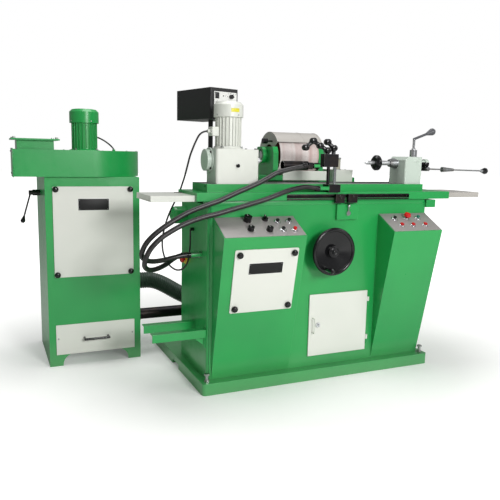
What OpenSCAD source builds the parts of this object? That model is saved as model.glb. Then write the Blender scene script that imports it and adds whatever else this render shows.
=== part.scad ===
// Cot grinding machine with its dust collector. Millimetres, Z up.
// The origin is on the floor under the middle of the machine's plinth.
// X runs along the table, to the right of the operator, and Y runs to the back.

/* [Machine base] */
// Length of the plinth
plinth_len = 1370; // [1300:10:1600]
// Depth of the plinth
plinth_depth = 950; // [900:10:1100]
// Height of the plinth
plinth_h = 60; // [40:5:90]
// Length of the machine body
body_len = 1290; // [1260:10:1300]
// Depth of the front bed of the body
body_depth = 435; // [425:5:450]
// Height of the body's top above the floor
body_top = 930; // [900:10:1000]
// Depth of the plinth's ledge in front of the body
ledge = 56; // [30:1:80]
// Sheet thickness of the body
wall = 5; // [3:1:8]

/* [Control consoles] */
// Width of the left console
left_console_w = 432; // [400:2:440]
// Width of the right console
right_console_w = 315; // [280:1:320]
// How far the consoles stand out at their front edge
console_reach = 153; // [120:1:180]
// Height of the control panels' upper edge
panel_top = 870; // [860:2:890]
// Height of the control panels' lower edge
panel_low = 790; // [770:2:800]

/* [Table] */
// Length of the lower table
table_len = 1505; // [1450:5:1600]
// Length of the upper table
upper_len = 1285; // [1270:5:1300]
// Width of the lower table
table_w = 294; // [280:2:300]
// Thickness of the lower table
table_t = 40; // [36:1:50]
// Width of the upper table
upper_w = 220; // [210:2:230]
// Thickness of the upper table
upper_t = 39; // [30:1:50]
// Length of the left table guard
left_guard_len = 215; // [150:5:220]
// Length of the right table guard
right_guard_len = 240; // [150:5:260]

/* [Heads] */
// Height of the work centres above the upper table
centre_h = 113; // [108:1:120]
// Width of the workhead
workhead_w = 226; // [210:2:240]
// Depth of the workhead and the tailstock
head_depth = 145; // [140:1:160]
// Height of the workhead
workhead_h = 168; // [160:1:180]
// Width of the tailstock
tailstock_w = 115; // [100:1:120]
// Height of the tailstock
tailstock_h = 150; // [145:1:160]
// Diameter of the grinding wheel
wheel_d = 220; // [200:2:226]
// Width of the grinding wheel
wheel_w = 240; // [200:2:244]
// Diameter of the handwheel
handwheel_d = 250; // [220:2:260]

/* [Dust collector] */
// Width of the collector cabinet
cab_w = 500; // [480:5:520]
// Depth of the collector cabinet
cab_depth = 500; // [480:5:520]
// Height of the collector cabinet
cab_h = 1036; // [1000:2:1100]
// Gap between the machine body and the cabinet along X
cab_gap = 184; // [150:1:250]
// Distance of the cabinet's front behind the middle of the plinth
cab_front = 201; // [150:1:260]
// Height of the blower scroll
scroll_h = 140; // [120:2:160]
// Radius of the blower scroll where it is widest
scroll_r = 300; // [285:5:310]
// Diameter of the suction duct
duct_d = 100; // [80:5:110]

/* [Hidden] */
$fn = 40;

// Shared clearances and overruns
overrun = 1;
running = 0.05;
air = 0.3;
seam = 0.5;

// Where the body stands
body_x = body_len / 2;
body_y0 = -plinth_depth / 2 + ledge;
body_y1 = body_y0 + body_depth;
corner_r = 25;
plate_t = 6;
// Slots for a lifting bar in the ends of the plinth
bar_slot_w = 110;
bar_slot_h = 25;
bar_slot_y = -15;
bar_slot_deep = 30;
plinth_r = 18;
plinth_skirt = 64;
// Rear part of the body, under the wheel head
rear_x0 = -300;
rear_x1 = 440;
rear_ledge = 30;
rear_y1 = plinth_depth / 2 - rear_ledge;
// Slight step in the left end of the body
end_step_y = -147;
end_step = 4;

// Levelling screws
screw_inset = 32;
screw_d = 16;
screw_up = 42;
screw_head_d = 30;
screw_head_h = 8;
locknut_af = 26;
locknut_h = 12;

// Slideways on top of the body
way_h = 20;
way_relief = 2;
vee_up = 12;
vee_half = vee_up + way_relief;
vee_play = 0.1;
vee_w = 50;
vee_y = body_y0 + 54;
flat_way_w = 60;
flat_way_y = body_y0 + 212;
cross_way_w = 56;
cross_way_x0 = -110;
cross_way_x1 = 300;
cross_way_y0 = -96;

// Consoles
left_console_x = -body_x + corner_r - 2;
right_console_x = body_x - right_console_w;
console_y = body_y0 - console_reach;
panel_slope = atan((panel_top - panel_low) / console_reach);
panel_run = console_reach / cos(panel_slope);
front_rise = panel_low - plinth_h;
front_slope = 90 + atan(console_reach / front_rise);
sheet = 3;
panel_margin = 4;
console_low_in = 60;
shank_room = 30;
stop_bar_w = 62;
stop_bar_h = 42;
stop_bar_depth = 60;
stop_bar_drop = 28;

// Access cover on the left console
cover_w = 335;
cover_hgt = 326;
cover_x = -395;
cover_s = 524;
cover_t = 6;
cover_edge_r = 8;
cover_knob_in = 24;
cover_knob_d = 20;
cover_knob_h = 14;
cover_knob_dome = 4;

// Door in the middle of the body's front
door_x1 = right_console_x - 48;
door_x0 = door_x1 - 361;
door_z0 = 117;
door_z1 = 452;
door_t = 8;
door_lap = 12;
door_gap = 0.6;
hinge_r = 6;
hinge_pin_r = 3;
hinge_leaf = 4;
hinge_barrel = 24;
hinge_end_in = 60;
hinge_x = door_x1 + hinge_r + 1;
hinge_y = body_y0 - hinge_r - 1.5;
lock_x = -26;
lock_z = 286;
lock_r = 13;
lock_out = 7;
lock_key = 3;
lock_shaft_r = 5;
pull_x = -57;
pull_rise = 78;
pull_out = 22;
pull_d = 6;

// Handwheel
hand_x = 15;
hand_z = 688;
hand_out = 62;
hand_boss_r = 34;
hand_boss_l = 22;
hand_shaft_r = 10;
hand_rim_r = 11;
hand_hub_r = 30;
hand_hub_l = 34;
hand_web_t = 8;
hand_dish = 16;
hand_shaft_in = 40;
crank_r = 102;
crank_turn = 233;
crank_boss_r = 13;
crank_clear = 0.5;
crank_pin_r = 4;
crank_len = 92;
crank_d0 = 16;
crank_d1 = 27;
crank_neck = 10;

// Reversing lever and its valve box on the body's front
valve_x0 = 60;
valve_x1 = 190;
valve_z0 = 846;
valve_z1 = 926;
valve_out = 16;
rev_x = 124;
rev_z = 880;
rev_shaft_r = 5;
rev_hub_r = 12;
rev_hub_l = 12;
rev_arm_l = 39;
rev_arm_d = 8;
rev_knob_r = 9;
rev_shaft_in = 30;

// Table
table_x0 = -table_len / 2 + 42;
table_x1 = table_x0 + table_len;
table_y0 = body_y0 - 20;
table_y1 = table_y0 + table_w;
table_z0 = body_top + way_h + running;
table_z1 = table_z0 + table_t;
upper_x0 = -body_x;
upper_x1 = upper_x0 + upper_len;
upper_y0 = table_y0 + 44;
upper_y1 = upper_y0 + upper_w;
upper_z1 = table_z1 + upper_t;
slot_x0 = -240;
slot_x1 = 515;
slot_mouth = 14;
slot_in = 22;
slot_lip = 8;
slot_deep = 18;
slot_z = table_z0 + 17;
top_slot_mouth = 12;
top_slot_in = 20;
top_slot_lip = 8;
top_slot_deep = 16;
top_slot_y = upper_y0 + 28;
guard_drop = 28;
guard_z1 = table_z0 + 26;
right_guard_rise = 7;
guard_y0 = body_y0;
guard_y1 = table_y1 - 1;
guard_cut = 40;
dog_w = 54;
dog_h = 46;
dog_t = 18;
dog_x0 = 36;
dog_x1 = 114;
dog_screw_r = 6;
dog_screw_l = 6;
strip_t = 4;
strip_w = 14;
strip_gap = 4;
rear_bar_l = 134;
rear_bar_over = 54;
rear_bar_w = 36;
rear_bar_h = 22;
guard_sheet = 3;
wiper_l = 140;
wiper_w = 16;
wiper_h = 3;

// Table drive on the left end of the body
drive_d = 92;
drive_len = 76;
drive_y = -42;
drive_z = 848;
drive_round = 26;
drive_rib = 4;

// Bracket arms on the left end of the body
arm_z = 312;
arm_reach = 270;
arm_w = 40;
arm_t = 5;
arm_y = [-380, -213];
gusset_l = 105;
gusset_h = 78;
arm_foot_h = 92;
arm_foot_w = 30;
arm_bolt_r = 6;
arm_bolt_in = 26;

// Hose fittings in the left end of the body
fit_y = [-322, -242];
fit_z = [678, 664];
fit_len = 56;
fit_r = 15;
fit_nut_af = 36;
fit_nut_l = 14;
fit_socket = 24;
fit_bore_r = 9;
hose_d = 24;
gland_y = -200;
gland_z = 790;
gland_r = 9;
gland_len = 18;

// Work axis
work_y = upper_y0 + 110;
work_z = upper_z1 + centre_h;
head_y0 = upper_y0 + 20;

// Workhead
wh_x0 = upper_x0 + 53;
wh_x1 = wh_x0 + workhead_w;
wh_z1 = upper_z1 + workhead_h;
wh_r = 12;
cap_r = 53;
cap_l = 30;
cap_lip = 8;
spindle_r = 14;
spindle_out = 40;
spindle_nose_r = 18;
spindle_nose_l = 30;
tip_l = 18;
plug_r = 9;
plug_l = 7;
plug_x = 112;
plug_z = 88;
bore_deep = 60;
end_play = 1;

// Motors: frame radius, fan cover radius, frame length, cover length
wm_r = 66;
wm_cover_r = 73;
wm_flange_r = 77;
wm_flange_t = 14;
wm_frame_l = 140;
wm_cover_l = 73;
wm_x = wh_x0 + 95;
motor_fin = 6;
fin_t = 3;
fin_count = 24;
motor_dome = 14;
tbox_w = 52;
tbox_h = 44;
tbox_out = 26;
bm_r = 72;
bm_cover_r = 81;
bm_flange_r = 88;
bm_frame_l = 145;
bm_cover_l = 76;

// Tailstock
ts_x0 = upper_x1 - 112;
ts_x1 = ts_x0 + tailstock_w;
ts_z1 = upper_z1 + tailstock_h;
ts_chamfer = 26;
ts_r = 8;
nose_l = 45;
nose_r0 = 31;
nose_r1 = 21;
quill_r = 13;
quill_knob_r = 42;
quill_knob_t = 34;
quill_knob_x = 397;
quill_round = 10;
quill_tip_x = 313;
quill_tip_r = 10;
quill_in = 60;
quill_travel = 15;
pad_r = 40;
pad_drop = 27;
pad_t = 4;
clamp_x = ts_x0 + 77;
clamp_post_r = 20;
clamp_post_h = 39;
clamp_pin_r = 8;
clamp_pin_in = 24;
clamp_neck_r = 7;
clamp_rise = 60;
clamp_reach = 84;
clamp_lift = 30;
clamp_fat_r = 20;
grip_share = 0.92;
tip_share = 0.5;
clamp_neck_end = 8;
tail_shaft_r = 16;
tail_shaft_l = 84;
tail_disc_r = 26;
tail_disc_t = 20;
lever_pin_r = 6;
lever_drop = 30;
lever_eye_r = 12;
lug_w = 2 * sqrt(pow(tail_disc_r, 2) - pow(lever_drop - lever_eye_r, 2)) + 2 * air;
lever_eye_t = 14;
lever_rod_r = 4;
lever_len = 455;
lever_fall = 8;
lever_sleeve_x = 105;
lever_sleeve_l = 86;
lever_sleeve_r0 = 15;
lever_sleeve_r1 = 8;
lever_ball_r = 19;

// Suction post on the table
post_x = 26;
post_w = 68;
post_h = 40;
clamp_shift = 14;
rod_r = 8.5;
rod_gap = 38;
post_front = 18;
post_fit_l = 52;
rod_top = 1172;
clampblk_w = 84;
clampblk_h = 66;
clampblk_t = 40;
clampblk_z = 1118;
nozzle_r = 23;
nozzle_x0 = -258;
nozzle_x1 = -118;
nozzle_z = 1123;
nozzle_y = table_y0 + 22;
nozzle_wall = 4;
elbow_w = 22;
elbow_out = 34;
arm_rod_r = 7;
grip_r = 15;
grip_l = 34;
vee_arm_r = 7;
vee_knob_r = 13;
vee_knob_t = 10;
arm_points = [[[-14, 0, -6], [-14, 0, 18], [-52, 12, 40], [-88, 20, 64], [-128, 26, 30]],
  [[22, 0, -6], [22, 0, 30], [-10, 10, 60]]];
spigot_r = 10;

// Wheel head
wheel_x = -5;
wheel_y = -20;
wheel_z = 1172;
slide_x0 = -200;
slide_x1 = 420;
slide_y0 = -40;
slide_y1 = 330;
slide_z0 = body_top + way_h + running;
slide_top = 1050;
drive_box_w = 124;
drive_box_top = 1096;
drive_box_y1 = 110;
oiler_r = 20;
oiler_h = 62;
nose_x0 = -105;
nose_x1 = 175;
nose_y0 = -125;
nose_z0 = 1036;
nose_z1 = 1092;
nose_play = 6;
shelf_x0 = -250;
shelf_z1 = 1062;
drive_box_x0 = 235;
drive_box_y0 = -108;
drive_box_z0 = 1016;
side_t = 30;
side_y0 = -142;
side_y1 = 96;
side_z1 = 1218;
side_cut = 30;
right_side_y0 = -96;
boss_r = 45;
boss_l = 22;
spindle_shaft_r = 22;
pulley_r = 44;
pulley_w = 28;
flange_r = 62;
flange_t = 3;
wg_r = 128;
wg_wall = 4;
wg_len = 280;
wg_x0 = -145;
wg_from = -62;
wg_to = 145;
wg_hole_r = 60;
wg_notch = 14;
guard_knob_z = 1248;
guard_knob_y = -62;
guard_knob_r = 15;
guard_knob_l = 26;
guard_stem_r = 5;
guard_stem_l = 34;
slide_motor_r = 78;
slide_motor_l = 230;
slide_motor_y = 225;
slide_motor_foot = 16;
slide_motor_x0 = wg_x0 + wg_len + side_t - slide_motor_l;
belt_guard_r = 58;
belt_guard_w = 40;
belt_wall = 3;

// Control box on its post
cp_x = -500;
cp_y = -38;
cp_r = 12.5;
cp_foot_r = 40;
cp_foot_t = 12;
box_z0 = 1348;
box_w = 175;
box_depth = 320;
box_h = 156;
box_turn = 15;
box_back = 40;
box_y0 = box_back - box_depth / 2;
box_y1 = box_back + box_depth / 2;
box_r = 6;
box_socket_r = 20;
box_socket_l = 24;
switch_w = 20;
switch_h = 26;
switch_x = -46;
switch_z = 118;
switch_out = 5;
switch_in = 13;
switch_pin_r = 2;
switch_ear_t = 4;
switch_ear_l = 9;
switch_play = 1.5;
box_wall = 3;
vent_w = 60;
vent_h = 5;
vent_pitch = 14;
vent_z = 100;
bk_x = 40;
bk_z = 116;
bk_r = 11;
bk_out = 14;
bk_shaft_r = 3;
bk_shaft_l = 10;

// Controls on the panels: places along X and up the slope
push_r = 9;
push_out = 9;
push_in = 10;
bezel_r = 14;
bezel_h = 7;
knob_shaft_r = 3;
knob_shaft_l = 12;
left_knobs = [for (p = [[163, 134], [260, 139], [153, 58], [249, 49]])
  p + [left_console_x, 0]];
left_buttons = [for (p = [[318, 118], [383, 120], [321, 49], [383, 46]])
  p + [left_console_x, 0]];
right_controls = [for (p = [[69, 115], [153, 121], [224, 115]])
  p + [right_console_x, 0]];
lamp_places = [for (p = [[79, 54], [151, 51], [231, 51]])
  p + [right_console_x, 0]];
lobe_r = 20;
lobe_n = 6;
lobe_small = 5.5;
lobe_h = 28;
pointer_r = 15;
pointer_h = 22;
pointer_w = 8;
round_knob_r = 16;
round_knob_h = 20;
mushroom_r = 20;
mushroom_h = 12;
lamp_r = 11;
lamp_h = 12;
estop_x = -body_x + end_step;
estop_y = -77;
estop_z = 620;
estop_collar_r = 31;
estop_collar_t = 12;
estop_stem_r = 11;
estop_stem_l = 30;
estop_up = 12;
estop_head_r = 24;
mushroom_round = 4;

// Collector
cab_x1 = -body_x - cab_gap;
cab_x0 = cab_x1 - cab_w;
cab_y0 = cab_front;
cab_y1 = cab_y0 + cab_depth;
cab_wall = 3;
foot_w = 71;
foot_h = 66;
foot_r = 60;
cab_panel_w = 424;
cab_panel_h = 488;
cab_panel_z = 497;
cab_panel_knob_in = 15;
drawer_w = 416;
drawer_h = 153;
drawer_z = 76;
drawer_front_lap = 3;
drawer_front_t = 5;
drawer_wall = 3;
drawer_deep = 440;
drawer_clear = 3;
runner_h = 8;
handle_w = 142;
handle_z = 74;
handle_d = 13;
handle_out = 36;
tube_sheet_z = 960;
tube_sheet_t = 6;
filter_r = 170;
filter_lip = 18;
filter_len = 420;
pleats = 36;
pleat_deep = 12;
shake_y = 490;
shake_z = 935;
shake_boss_r = 17;
shake_boss_l = 40;
shake_pin_r = 7;
shake_rod_r = 4.5;
shake_drop = 140;
shake_out = 44;
shake_fore = 40;
shake_in = 26;
shake_hub_r = 13;
shake_hub_l = 20;
shake_ball_r = 13;

// Blower
fan_x = (cab_x0 + cab_x1) / 2;
fan_back = 25;
fan_y = (cab_y0 + cab_y1) / 2 + fan_back;
scroll_wall = 3;
scroll_z = cab_h;
eye_r = 95;
spout_w = 180;
spout_out = 378;
spout_x0 = fan_x - spout_out;
spout_end = 20;
scroll_lip = 10;
spout_y0 = fan_y - scroll_r + scroll_lip;
spout_up = 46;
flange_w = 234;
flange_h = 8;
flange_bolt_in = 14;
flange_bolt_r = 4.5;
fan_r = 200;
fan_disc_t = 4;
blade_h = 70;
blade_t = 3;
blade_n = 10;
blade_r0 = 100;
fan_hub_r = 26;
fan_shaft_r = 11;
fan_gap = 10;
fan_shaft_in = 40;

// Duct hose: a curve with four control points
duct_start = [cab_x1, 480, 392];
duct_end = [rear_x0, 452, 262];
duct_bend = 110;
duct_lead_ribs = 6;
duct_sides = 16;
duct_spigot = 24;
duct_collar_t = 6;
duct_collar_up = 8;
duct_wall = 3;
duct_rib = 3;
duct_spigot_d = (duct_d - 2 * duct_wall - 2 * duct_rib) * cos(180 / duct_sides) - 2 * air;
duct_ribs = 22;

// Lower pipe between the cabinet and the rear of the body
pipe_r = 32;
pipe_y = 300;
pipe_z = 230;
pipe_flange_r = 46;
pipe_flange_t = 8;

// Routes of the free cords, chosen by hand
upper_hose_route = [[-140, -465, 1121], [-190, -465, 1112], [-245, -465, 1102],
  [-305, -465, 1086], [-350, -465, 1064], [-395, -465, 1041], [-450, -465, 1018],
  [-505, -465, 996], [-555, -465, 975], [-605, -465, 954], [-655, -465, 938],
  [-704, -465, 922], [-765, -465, 898], [-830, -465, 864], [-890, -464, 826],
  [-935, -460, 788], [-962, -450, 750], [-970, -430, 708], [-950, -400, 680],
  [-905, -365, 664], [-845, -338, 662], [-785, -325, 670], [-740, -322, 677],
  [-701, -322, 678]];
lower_hose_route = [[-87, -448, 1012], [-125, -450, 1016], [-170, -458, 1020],
  [-220, -468, 1015], [-272, -476, 1004], [-330, -480, 984], [-390, -480, 963],
  [-450, -480, 946], [-509, -480, 930], [-570, -480, 914], [-635, -480, 897],
  [-695, -480, 884], [-755, -480, 867], [-812, -480, 845], [-860, -480, 819],
  [-905, -480, 790], [-948, -478, 746], [-968, -464, 698], [-964, -430, 655],
  [-930, -385, 628], [-880, -340, 622], [-825, -300, 632], [-775, -262, 650],
  [-737, -243, 662], [-701, -242, 664]];
motor_cable_route = [[-607, -285, 1270], [-628, -284, 1266], [-646, -281, 1252],
  [-660, -275, 1225], [-672, -262, 1190], [-680, -240, 1150], [-684, -210, 1100],
  [-686, -175, 1050], [-688, -140, 1010], [-698, -124, 970], [-716, -120, 930],
  [-738, -122, 890], [-762, -128, 840], [-782, -136, 790], [-796, -146, 735],
  [-798, -156, 680], [-786, -166, 630], [-764, -176, 595], [-734, -186, 575],
  [-706, -194, 578], [-686, -199, 600], [-674, -201, 635], [-668, -200, 680],
  [-666, -200, 725], [-666, -200, 770]];
blower_cable_route = [[-1030, 575, 1262], [-1004, 573, 1262], [-975, 568, 1252],
  [-948, 562, 1236], [-922, 556, 1214], [-905, 552, 1194], [-900, 550, 1184]];
cable_d = 9;
cable_land_x = 180;
cable_land_y = 74;

// Paints and bare metals
green = "#1f9d5b";
dark_green = "#14804a";
white = "#e9ebe6";
panel_grey = "#7f8c84";
black = "#1b1c1e";
steel = "#b9bcbd";
red = "#c8232c";
blotter_red = "#7c1f24";
stone = "#e2dfd6";
grey_cloth = "#cfd2cf";

base_plinth();
levelling_screws();
machine_body();
control_panels();
access_covers();
cover_knobs();
bracket_arms();
table_drive();
control_post();
collector_cabinet();
filter_cartridge();
blower_housing();
blower_motor();
impeller();
shaker_lever();
drawer();
duct_hose();
lower_pipe();
upper_hose();
lower_hose();
motor_cable();
blower_cable();
lower_table();
upper_table();
table_guards();
table_fittings();
workhead();
workhead_motor();
tailstock();
suction_post();
work_spindle();
quill();
retract_lever();
clamp_lever();
wheel_slide();
spindle_housing();
wheel_guard();
wheel_motor();
grinding_wheel();
guard_knob();
handwheel();
crank_handle();
door();
door_lock();
control_box();
box_switch();
box_knob();
e_stop();
speed_knob();
mode_knob();
feed_knob();
dwell_knob();
start_button();
jog_button();
cycle_button();
stop_button();
wheel_start_button();
wheel_stop_button();
collector_button();
reversing_lever();

// Solids that lie along X or Y, from their start
module along_x(x, y, z) {
  translate([x, y, z]) rotate([0, 90, 0]) children();
}

module along_y(x, y, z) {
  translate([x, y, z]) rotate([-90, 0, 0]) children();
}

// A place on the sloping panels: x along, v up the slope, Z out of the panel
module on_panel(x, v) {
  translate([x, console_y, panel_low])
    rotate([panel_slope, 0, 0])
      translate([0, v, 0])
        children();
}

// A place on the front of the left console: s up the slope from the plinth
module on_console(x, s) {
  translate([x, body_y0, plinth_h])
    rotate([front_slope, 0, 0])
      translate([0, s, 0])
        children();
}

// A block given by its two corners
module block(a, b) {
  translate(a) cube(b - a);
}

module console_wedge(x, w) {
  translate([x, 0, 0]) rotate([90, 0, 90])
    linear_extrude(w)
      polygon([[body_y0, plinth_h], [console_y, panel_low], [body_y0, panel_top],
        [body_y0 + wall / 2, panel_top], [body_y0 + wall / 2, plinth_h]]);
}

module console_hollow(x, w) {
  inner_top = panel_top - wall / cos(panel_slope) - wall * tan(panel_slope);
  translate([x + wall, 0, 0]) rotate([90, 0, 90])
    linear_extrude(w - 2 * wall)
      polygon([[body_y0 + wall + overrun, plinth_h + console_low_in],
        [body_y0, plinth_h + console_low_in],
        [console_y + wall + wall * tan(panel_slope), panel_low - wall],
        [body_y0, panel_top - wall / cos(panel_slope)],
        [body_y0 + wall + overrun, inner_top]]);
}

// Body of the machine: bed, consoles, rear base, ways and hose fittings
module machine_body() {
  color(green) difference() {
    union() {
      bed_shell();
      console_wedge(left_console_x, left_console_w);
      console_wedge(right_console_x, right_console_w);
      block([rear_x0, body_y1 - wall, plinth_h], [rear_x1, rear_y1, body_top]);
      ways();
      end_fittings();
      block([valve_x0, body_y0 - valve_out, valve_z0],
        [valve_x1, body_y0 + wall / 2, valve_z1]);
      rear_ports();
      door_hinges();
      along_y(hand_x, body_y0 - hand_boss_l, hand_z)
        cylinder(r = hand_boss_r, h = hand_boss_l + wall / 2);
      block([body_x - overrun, body_y0 - door_lap, body_top - stop_bar_drop],
        [body_x + stop_bar_w, body_y0 + stop_bar_depth, body_top + stop_bar_h - stop_bar_drop]);
    }
    bed_hollow();
    console_hollow(left_console_x, left_console_w);
    console_hollow(right_console_x, right_console_w);
    block([rear_x0 + wall, body_y1 - wall - overrun, plinth_h - overrun],
      [rear_x1 - wall, rear_y1 - wall, body_top - wall]);
    block([door_x0 + door_lap, body_y0 - overrun, door_z0 + door_lap],
      [door_x1 - door_lap, body_y0 + wall + overrun, door_z1 - door_lap]);
    control_bores();
    fitting_bores();
    rear_port_bores();
    along_y(hand_x, body_y0 - hand_boss_l - overrun, hand_z)
      cylinder(r = hand_shaft_r + running, h = hand_boss_l + wall + 2 * overrun);
    along_y(rev_x, body_y0 - valve_out - overrun, rev_z)
      cylinder(r = rev_shaft_r + running, h = valve_out + wall + 2 * overrun);
  }
}

// Outer form of the front bed, with its rounded front corner and stepped left end
module bed_shell() {
  difference() {
    union() {
      translate([-body_x + corner_r, body_y0, plinth_h])
        cube([body_len - corner_r, body_depth, body_top - plinth_h]);
      translate([-body_x, body_y0 + corner_r, plinth_h])
        cube([body_len / 2, body_depth - corner_r, body_top - plinth_h]);
      translate([-body_x + corner_r, body_y0 + corner_r, plinth_h])
        cylinder(r = corner_r, h = body_top - plinth_h);
    }
    block([-body_x - overrun, end_step_y, plinth_h - overrun],
      [-body_x + end_step, body_y1 + overrun, body_top + overrun]);
  }
}

module bed_hollow() {
  block([-body_x + end_step + wall, body_y0 + wall, plinth_h - overrun],
    [body_x - wall, body_y1 - wall, body_top - wall]);
}

// Slideways: a vee way and a flat way for the table, two cross ways for the wheel slide
module ways() {
  translate([-body_x, vee_y, body_top]) rotate([90, 0, 90])
    linear_extrude(body_len)
      polygon([[-vee_w / 2, -overrun], [vee_w / 2, -overrun],
        [vee_w / 2, way_h - way_relief], [vee_half, way_h - way_relief], [0, way_h + vee_up],
        [-vee_half, way_h - way_relief], [-vee_w / 2, way_h - way_relief]]);
  block([-body_x, flat_way_y - flat_way_w / 2, body_top - overrun],
    [body_x, flat_way_y + flat_way_w / 2, body_top + way_h]);
  for (x = [cross_way_x0, cross_way_x1])
    block([x - cross_way_w / 2, cross_way_y0, body_top - overrun],
      [x + cross_way_w / 2, rear_y1, body_top + way_h]);
}

// Threaded hose fittings and the cable gland in the left end
module end_fittings() {
  for (i = [0, 1])
    along_x(-body_x - fit_len, fit_y[i], fit_z[i]) {
      cylinder(r = fit_r, h = fit_len + end_step + wall / 2);
      translate([0, 0, fit_len - fit_nut_l])
        cylinder(d = fit_nut_af, h = fit_nut_l + end_step + wall / 2, $fn = 6);
    }
  along_x(-body_x - gland_len, gland_y, gland_z)
    cylinder(r = gland_r, h = gland_len + end_step + wall / 2);
}

module fitting_bores() {
  for (i = [0, 1])
    along_x(-body_x - fit_len + fit_socket, fit_y[i], fit_z[i])
      cylinder(r = fit_bore_r, h = fit_len);
}

// Spigots in the left wall of the rear base for the duct and the lower pipe
module rear_ports() {
  along_x(duct_end[0] - duct_spigot, duct_end[1], duct_end[2])
    cylinder(d = duct_spigot_d, h = duct_spigot + wall / 2);
  along_x(duct_end[0] - duct_collar_t, duct_end[1], duct_end[2])
    cylinder(d = duct_d + 2 * duct_collar_up, h = duct_collar_t + wall / 2);
  along_x(rear_x0 - pipe_flange_t, pipe_y, pipe_z)
    cylinder(r = pipe_flange_r, h = pipe_flange_t + wall / 2);
}

module rear_port_bores() {
  along_x(duct_end[0] - duct_spigot - overrun, duct_end[1], duct_end[2])
    cylinder(d = duct_spigot_d - 2 * duct_wall, h = duct_spigot + wall + 2 * overrun);
  along_x(rear_x0 - pipe_flange_t - overrun, pipe_y, pipe_z)
    cylinder(r = pipe_r - duct_wall, h = pipe_flange_t + wall + 2 * overrun);
}

// Bores for the shanks of the buttons and knobs, through panel and body
module control_bores() {
  for (p = left_knobs)
    on_panel(p[0], p[1]) translate([0, 0, -shank_room])
      cylinder(r = knob_shaft_r + running, h = shank_room + sheet + overrun);
  for (p = concat(left_buttons, right_controls))
    on_panel(p[0], p[1]) translate([0, 0, -shank_room])
      cylinder(r = push_r + running, h = shank_room + sheet + bezel_h + overrun);
  translate([estop_x - estop_collar_t - overrun, estop_y, estop_z]) rotate([0, 90, 0])
    cylinder(r = estop_stem_r + running, h = estop_collar_t + wall + 2 * overrun);
}

// A block with rounded upright edges
module rounded_block(a, b, r) {
  block([a[0] + r, a[1], a[2]], [b[0] - r, b[1], b[2]]);
  block([a[0], a[1] + r, a[2]], [b[0], b[1] - r, b[2]]);
  for (x = [a[0] + r, b[0] - r], y = [a[1] + r, b[1] - r])
    translate([x, y, a[2]])
      cylinder(r = r, h = b[2] - a[2]);
}

module base_plinth() {
  color(green) difference() {
    rounded_block([-plinth_len / 2, -plinth_depth / 2, 0],
      [plinth_len / 2, plinth_depth / 2, plinth_h], plinth_r);
    for (sx = [-1, 1], sy = [-1, 1]) {
      translate([sx * plinth_len / 4, sy * plinth_depth / 4,
        (plinth_h - plate_t - overrun) / 2])
        cube([plinth_len / 2 - 1.5 * plinth_skirt, plinth_depth / 2 - 1.5 * plinth_skirt,
          plinth_h - plate_t + overrun], center = true);
      translate([sx * (plinth_len / 2 - screw_inset),
        sy * (plinth_depth / 2 - screw_inset), -overrun])
        cylinder(d = screw_d + 2 * running, h = plinth_h + 2 * overrun);
    }
    for (x = [-plinth_len / 2, plinth_len / 2])
      block([x - bar_slot_deep, bar_slot_y - bar_slot_w / 2, -overrun],
        [x + bar_slot_deep, bar_slot_y + bar_slot_w / 2, bar_slot_h]);
  }
}

module levelling_screws() {
  color(steel)
    for (sx = [-1, 1], sy = [-1, 1])
      translate([sx * (plinth_len / 2 - screw_inset),
        sy * (plinth_depth / 2 - screw_inset), 0]) {
        cylinder(d = screw_d, h = plinth_h + screw_up);
        translate([0, 0, plinth_h])
          cylinder(d = locknut_af, h = locknut_h, $fn = 6);
        translate([0, 0, plinth_h + screw_up - screw_head_h])
          cylinder(d = screw_head_d, h = screw_head_h, $fn = 6);
      }
}

// Panels on the two consoles, with their bezels, lamps and the collar of the stop mushroom
module control_panels() {
  color(panel_grey) difference() {
    union() {
      panel_sheet(left_console_x, left_console_w);
      panel_sheet(right_console_x, right_console_w);
      for (p = concat(left_buttons, right_controls))
        on_panel(p[0], p[1])
          cylinder(r = bezel_r, h = sheet + bezel_h);
      for (p = lamp_places)
        on_panel(p[0], p[1])
          cylinder(r = lamp_r, h = sheet + lamp_h);
      translate([estop_x - estop_collar_t, estop_y, estop_z]) rotate([0, 90, 0])
        cylinder(r = estop_collar_r, h = estop_collar_t);
    }
    control_bores();
  }
}

module panel_sheet(x, w) {
  on_panel(x, 0)
    block([panel_margin, panel_margin, 0],
      [w - panel_margin, panel_run - panel_margin, sheet]);
}

// Rounded plate, middle at the origin, lying in X and Y
module slab(w, d, r, t) {
  translate([-w / 2, -d / 2, 0])
    rounded_block([0, 0, 0], [w, d, t], r);
}

// Places of the two access covers
module on_console_cover() {
  on_console(cover_x, cover_s) children();
}

module on_cabinet_cover() {
  translate([(cab_x0 + cab_x1) / 2, cab_y0, cab_panel_z + cab_panel_h / 2])
    rotate([90, 0, 0])
      children();
}

module access_covers() {
  color(white) {
    on_console_cover() slab(cover_w, cover_hgt, cover_edge_r, cover_t);
    on_cabinet_cover() slab(cab_panel_w, cab_panel_h, cover_edge_r, cover_t);
  }
}

module cover_knobs() {
  color(black)
    for (sx = [-1, 1], sy = [-1, 1]) {
      on_console_cover()
        translate([sx * (cover_w / 2 - cover_knob_in),
          sy * (cover_hgt / 2 - cover_knob_in), cover_t])
          domed_knob();
      on_cabinet_cover()
        translate([sx * (cab_panel_w / 2 - cab_panel_knob_in),
          sy * (cab_panel_h / 2 - cab_panel_knob_in), cover_t])
          domed_knob();
    }
}

module domed_knob() {
  cylinder(d = cover_knob_d, h = cover_knob_h);
  translate([0, 0, cover_knob_h])
    cylinder(d1 = cover_knob_d, d2 = cover_knob_d / 2, h = cover_knob_dome);
}

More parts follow.
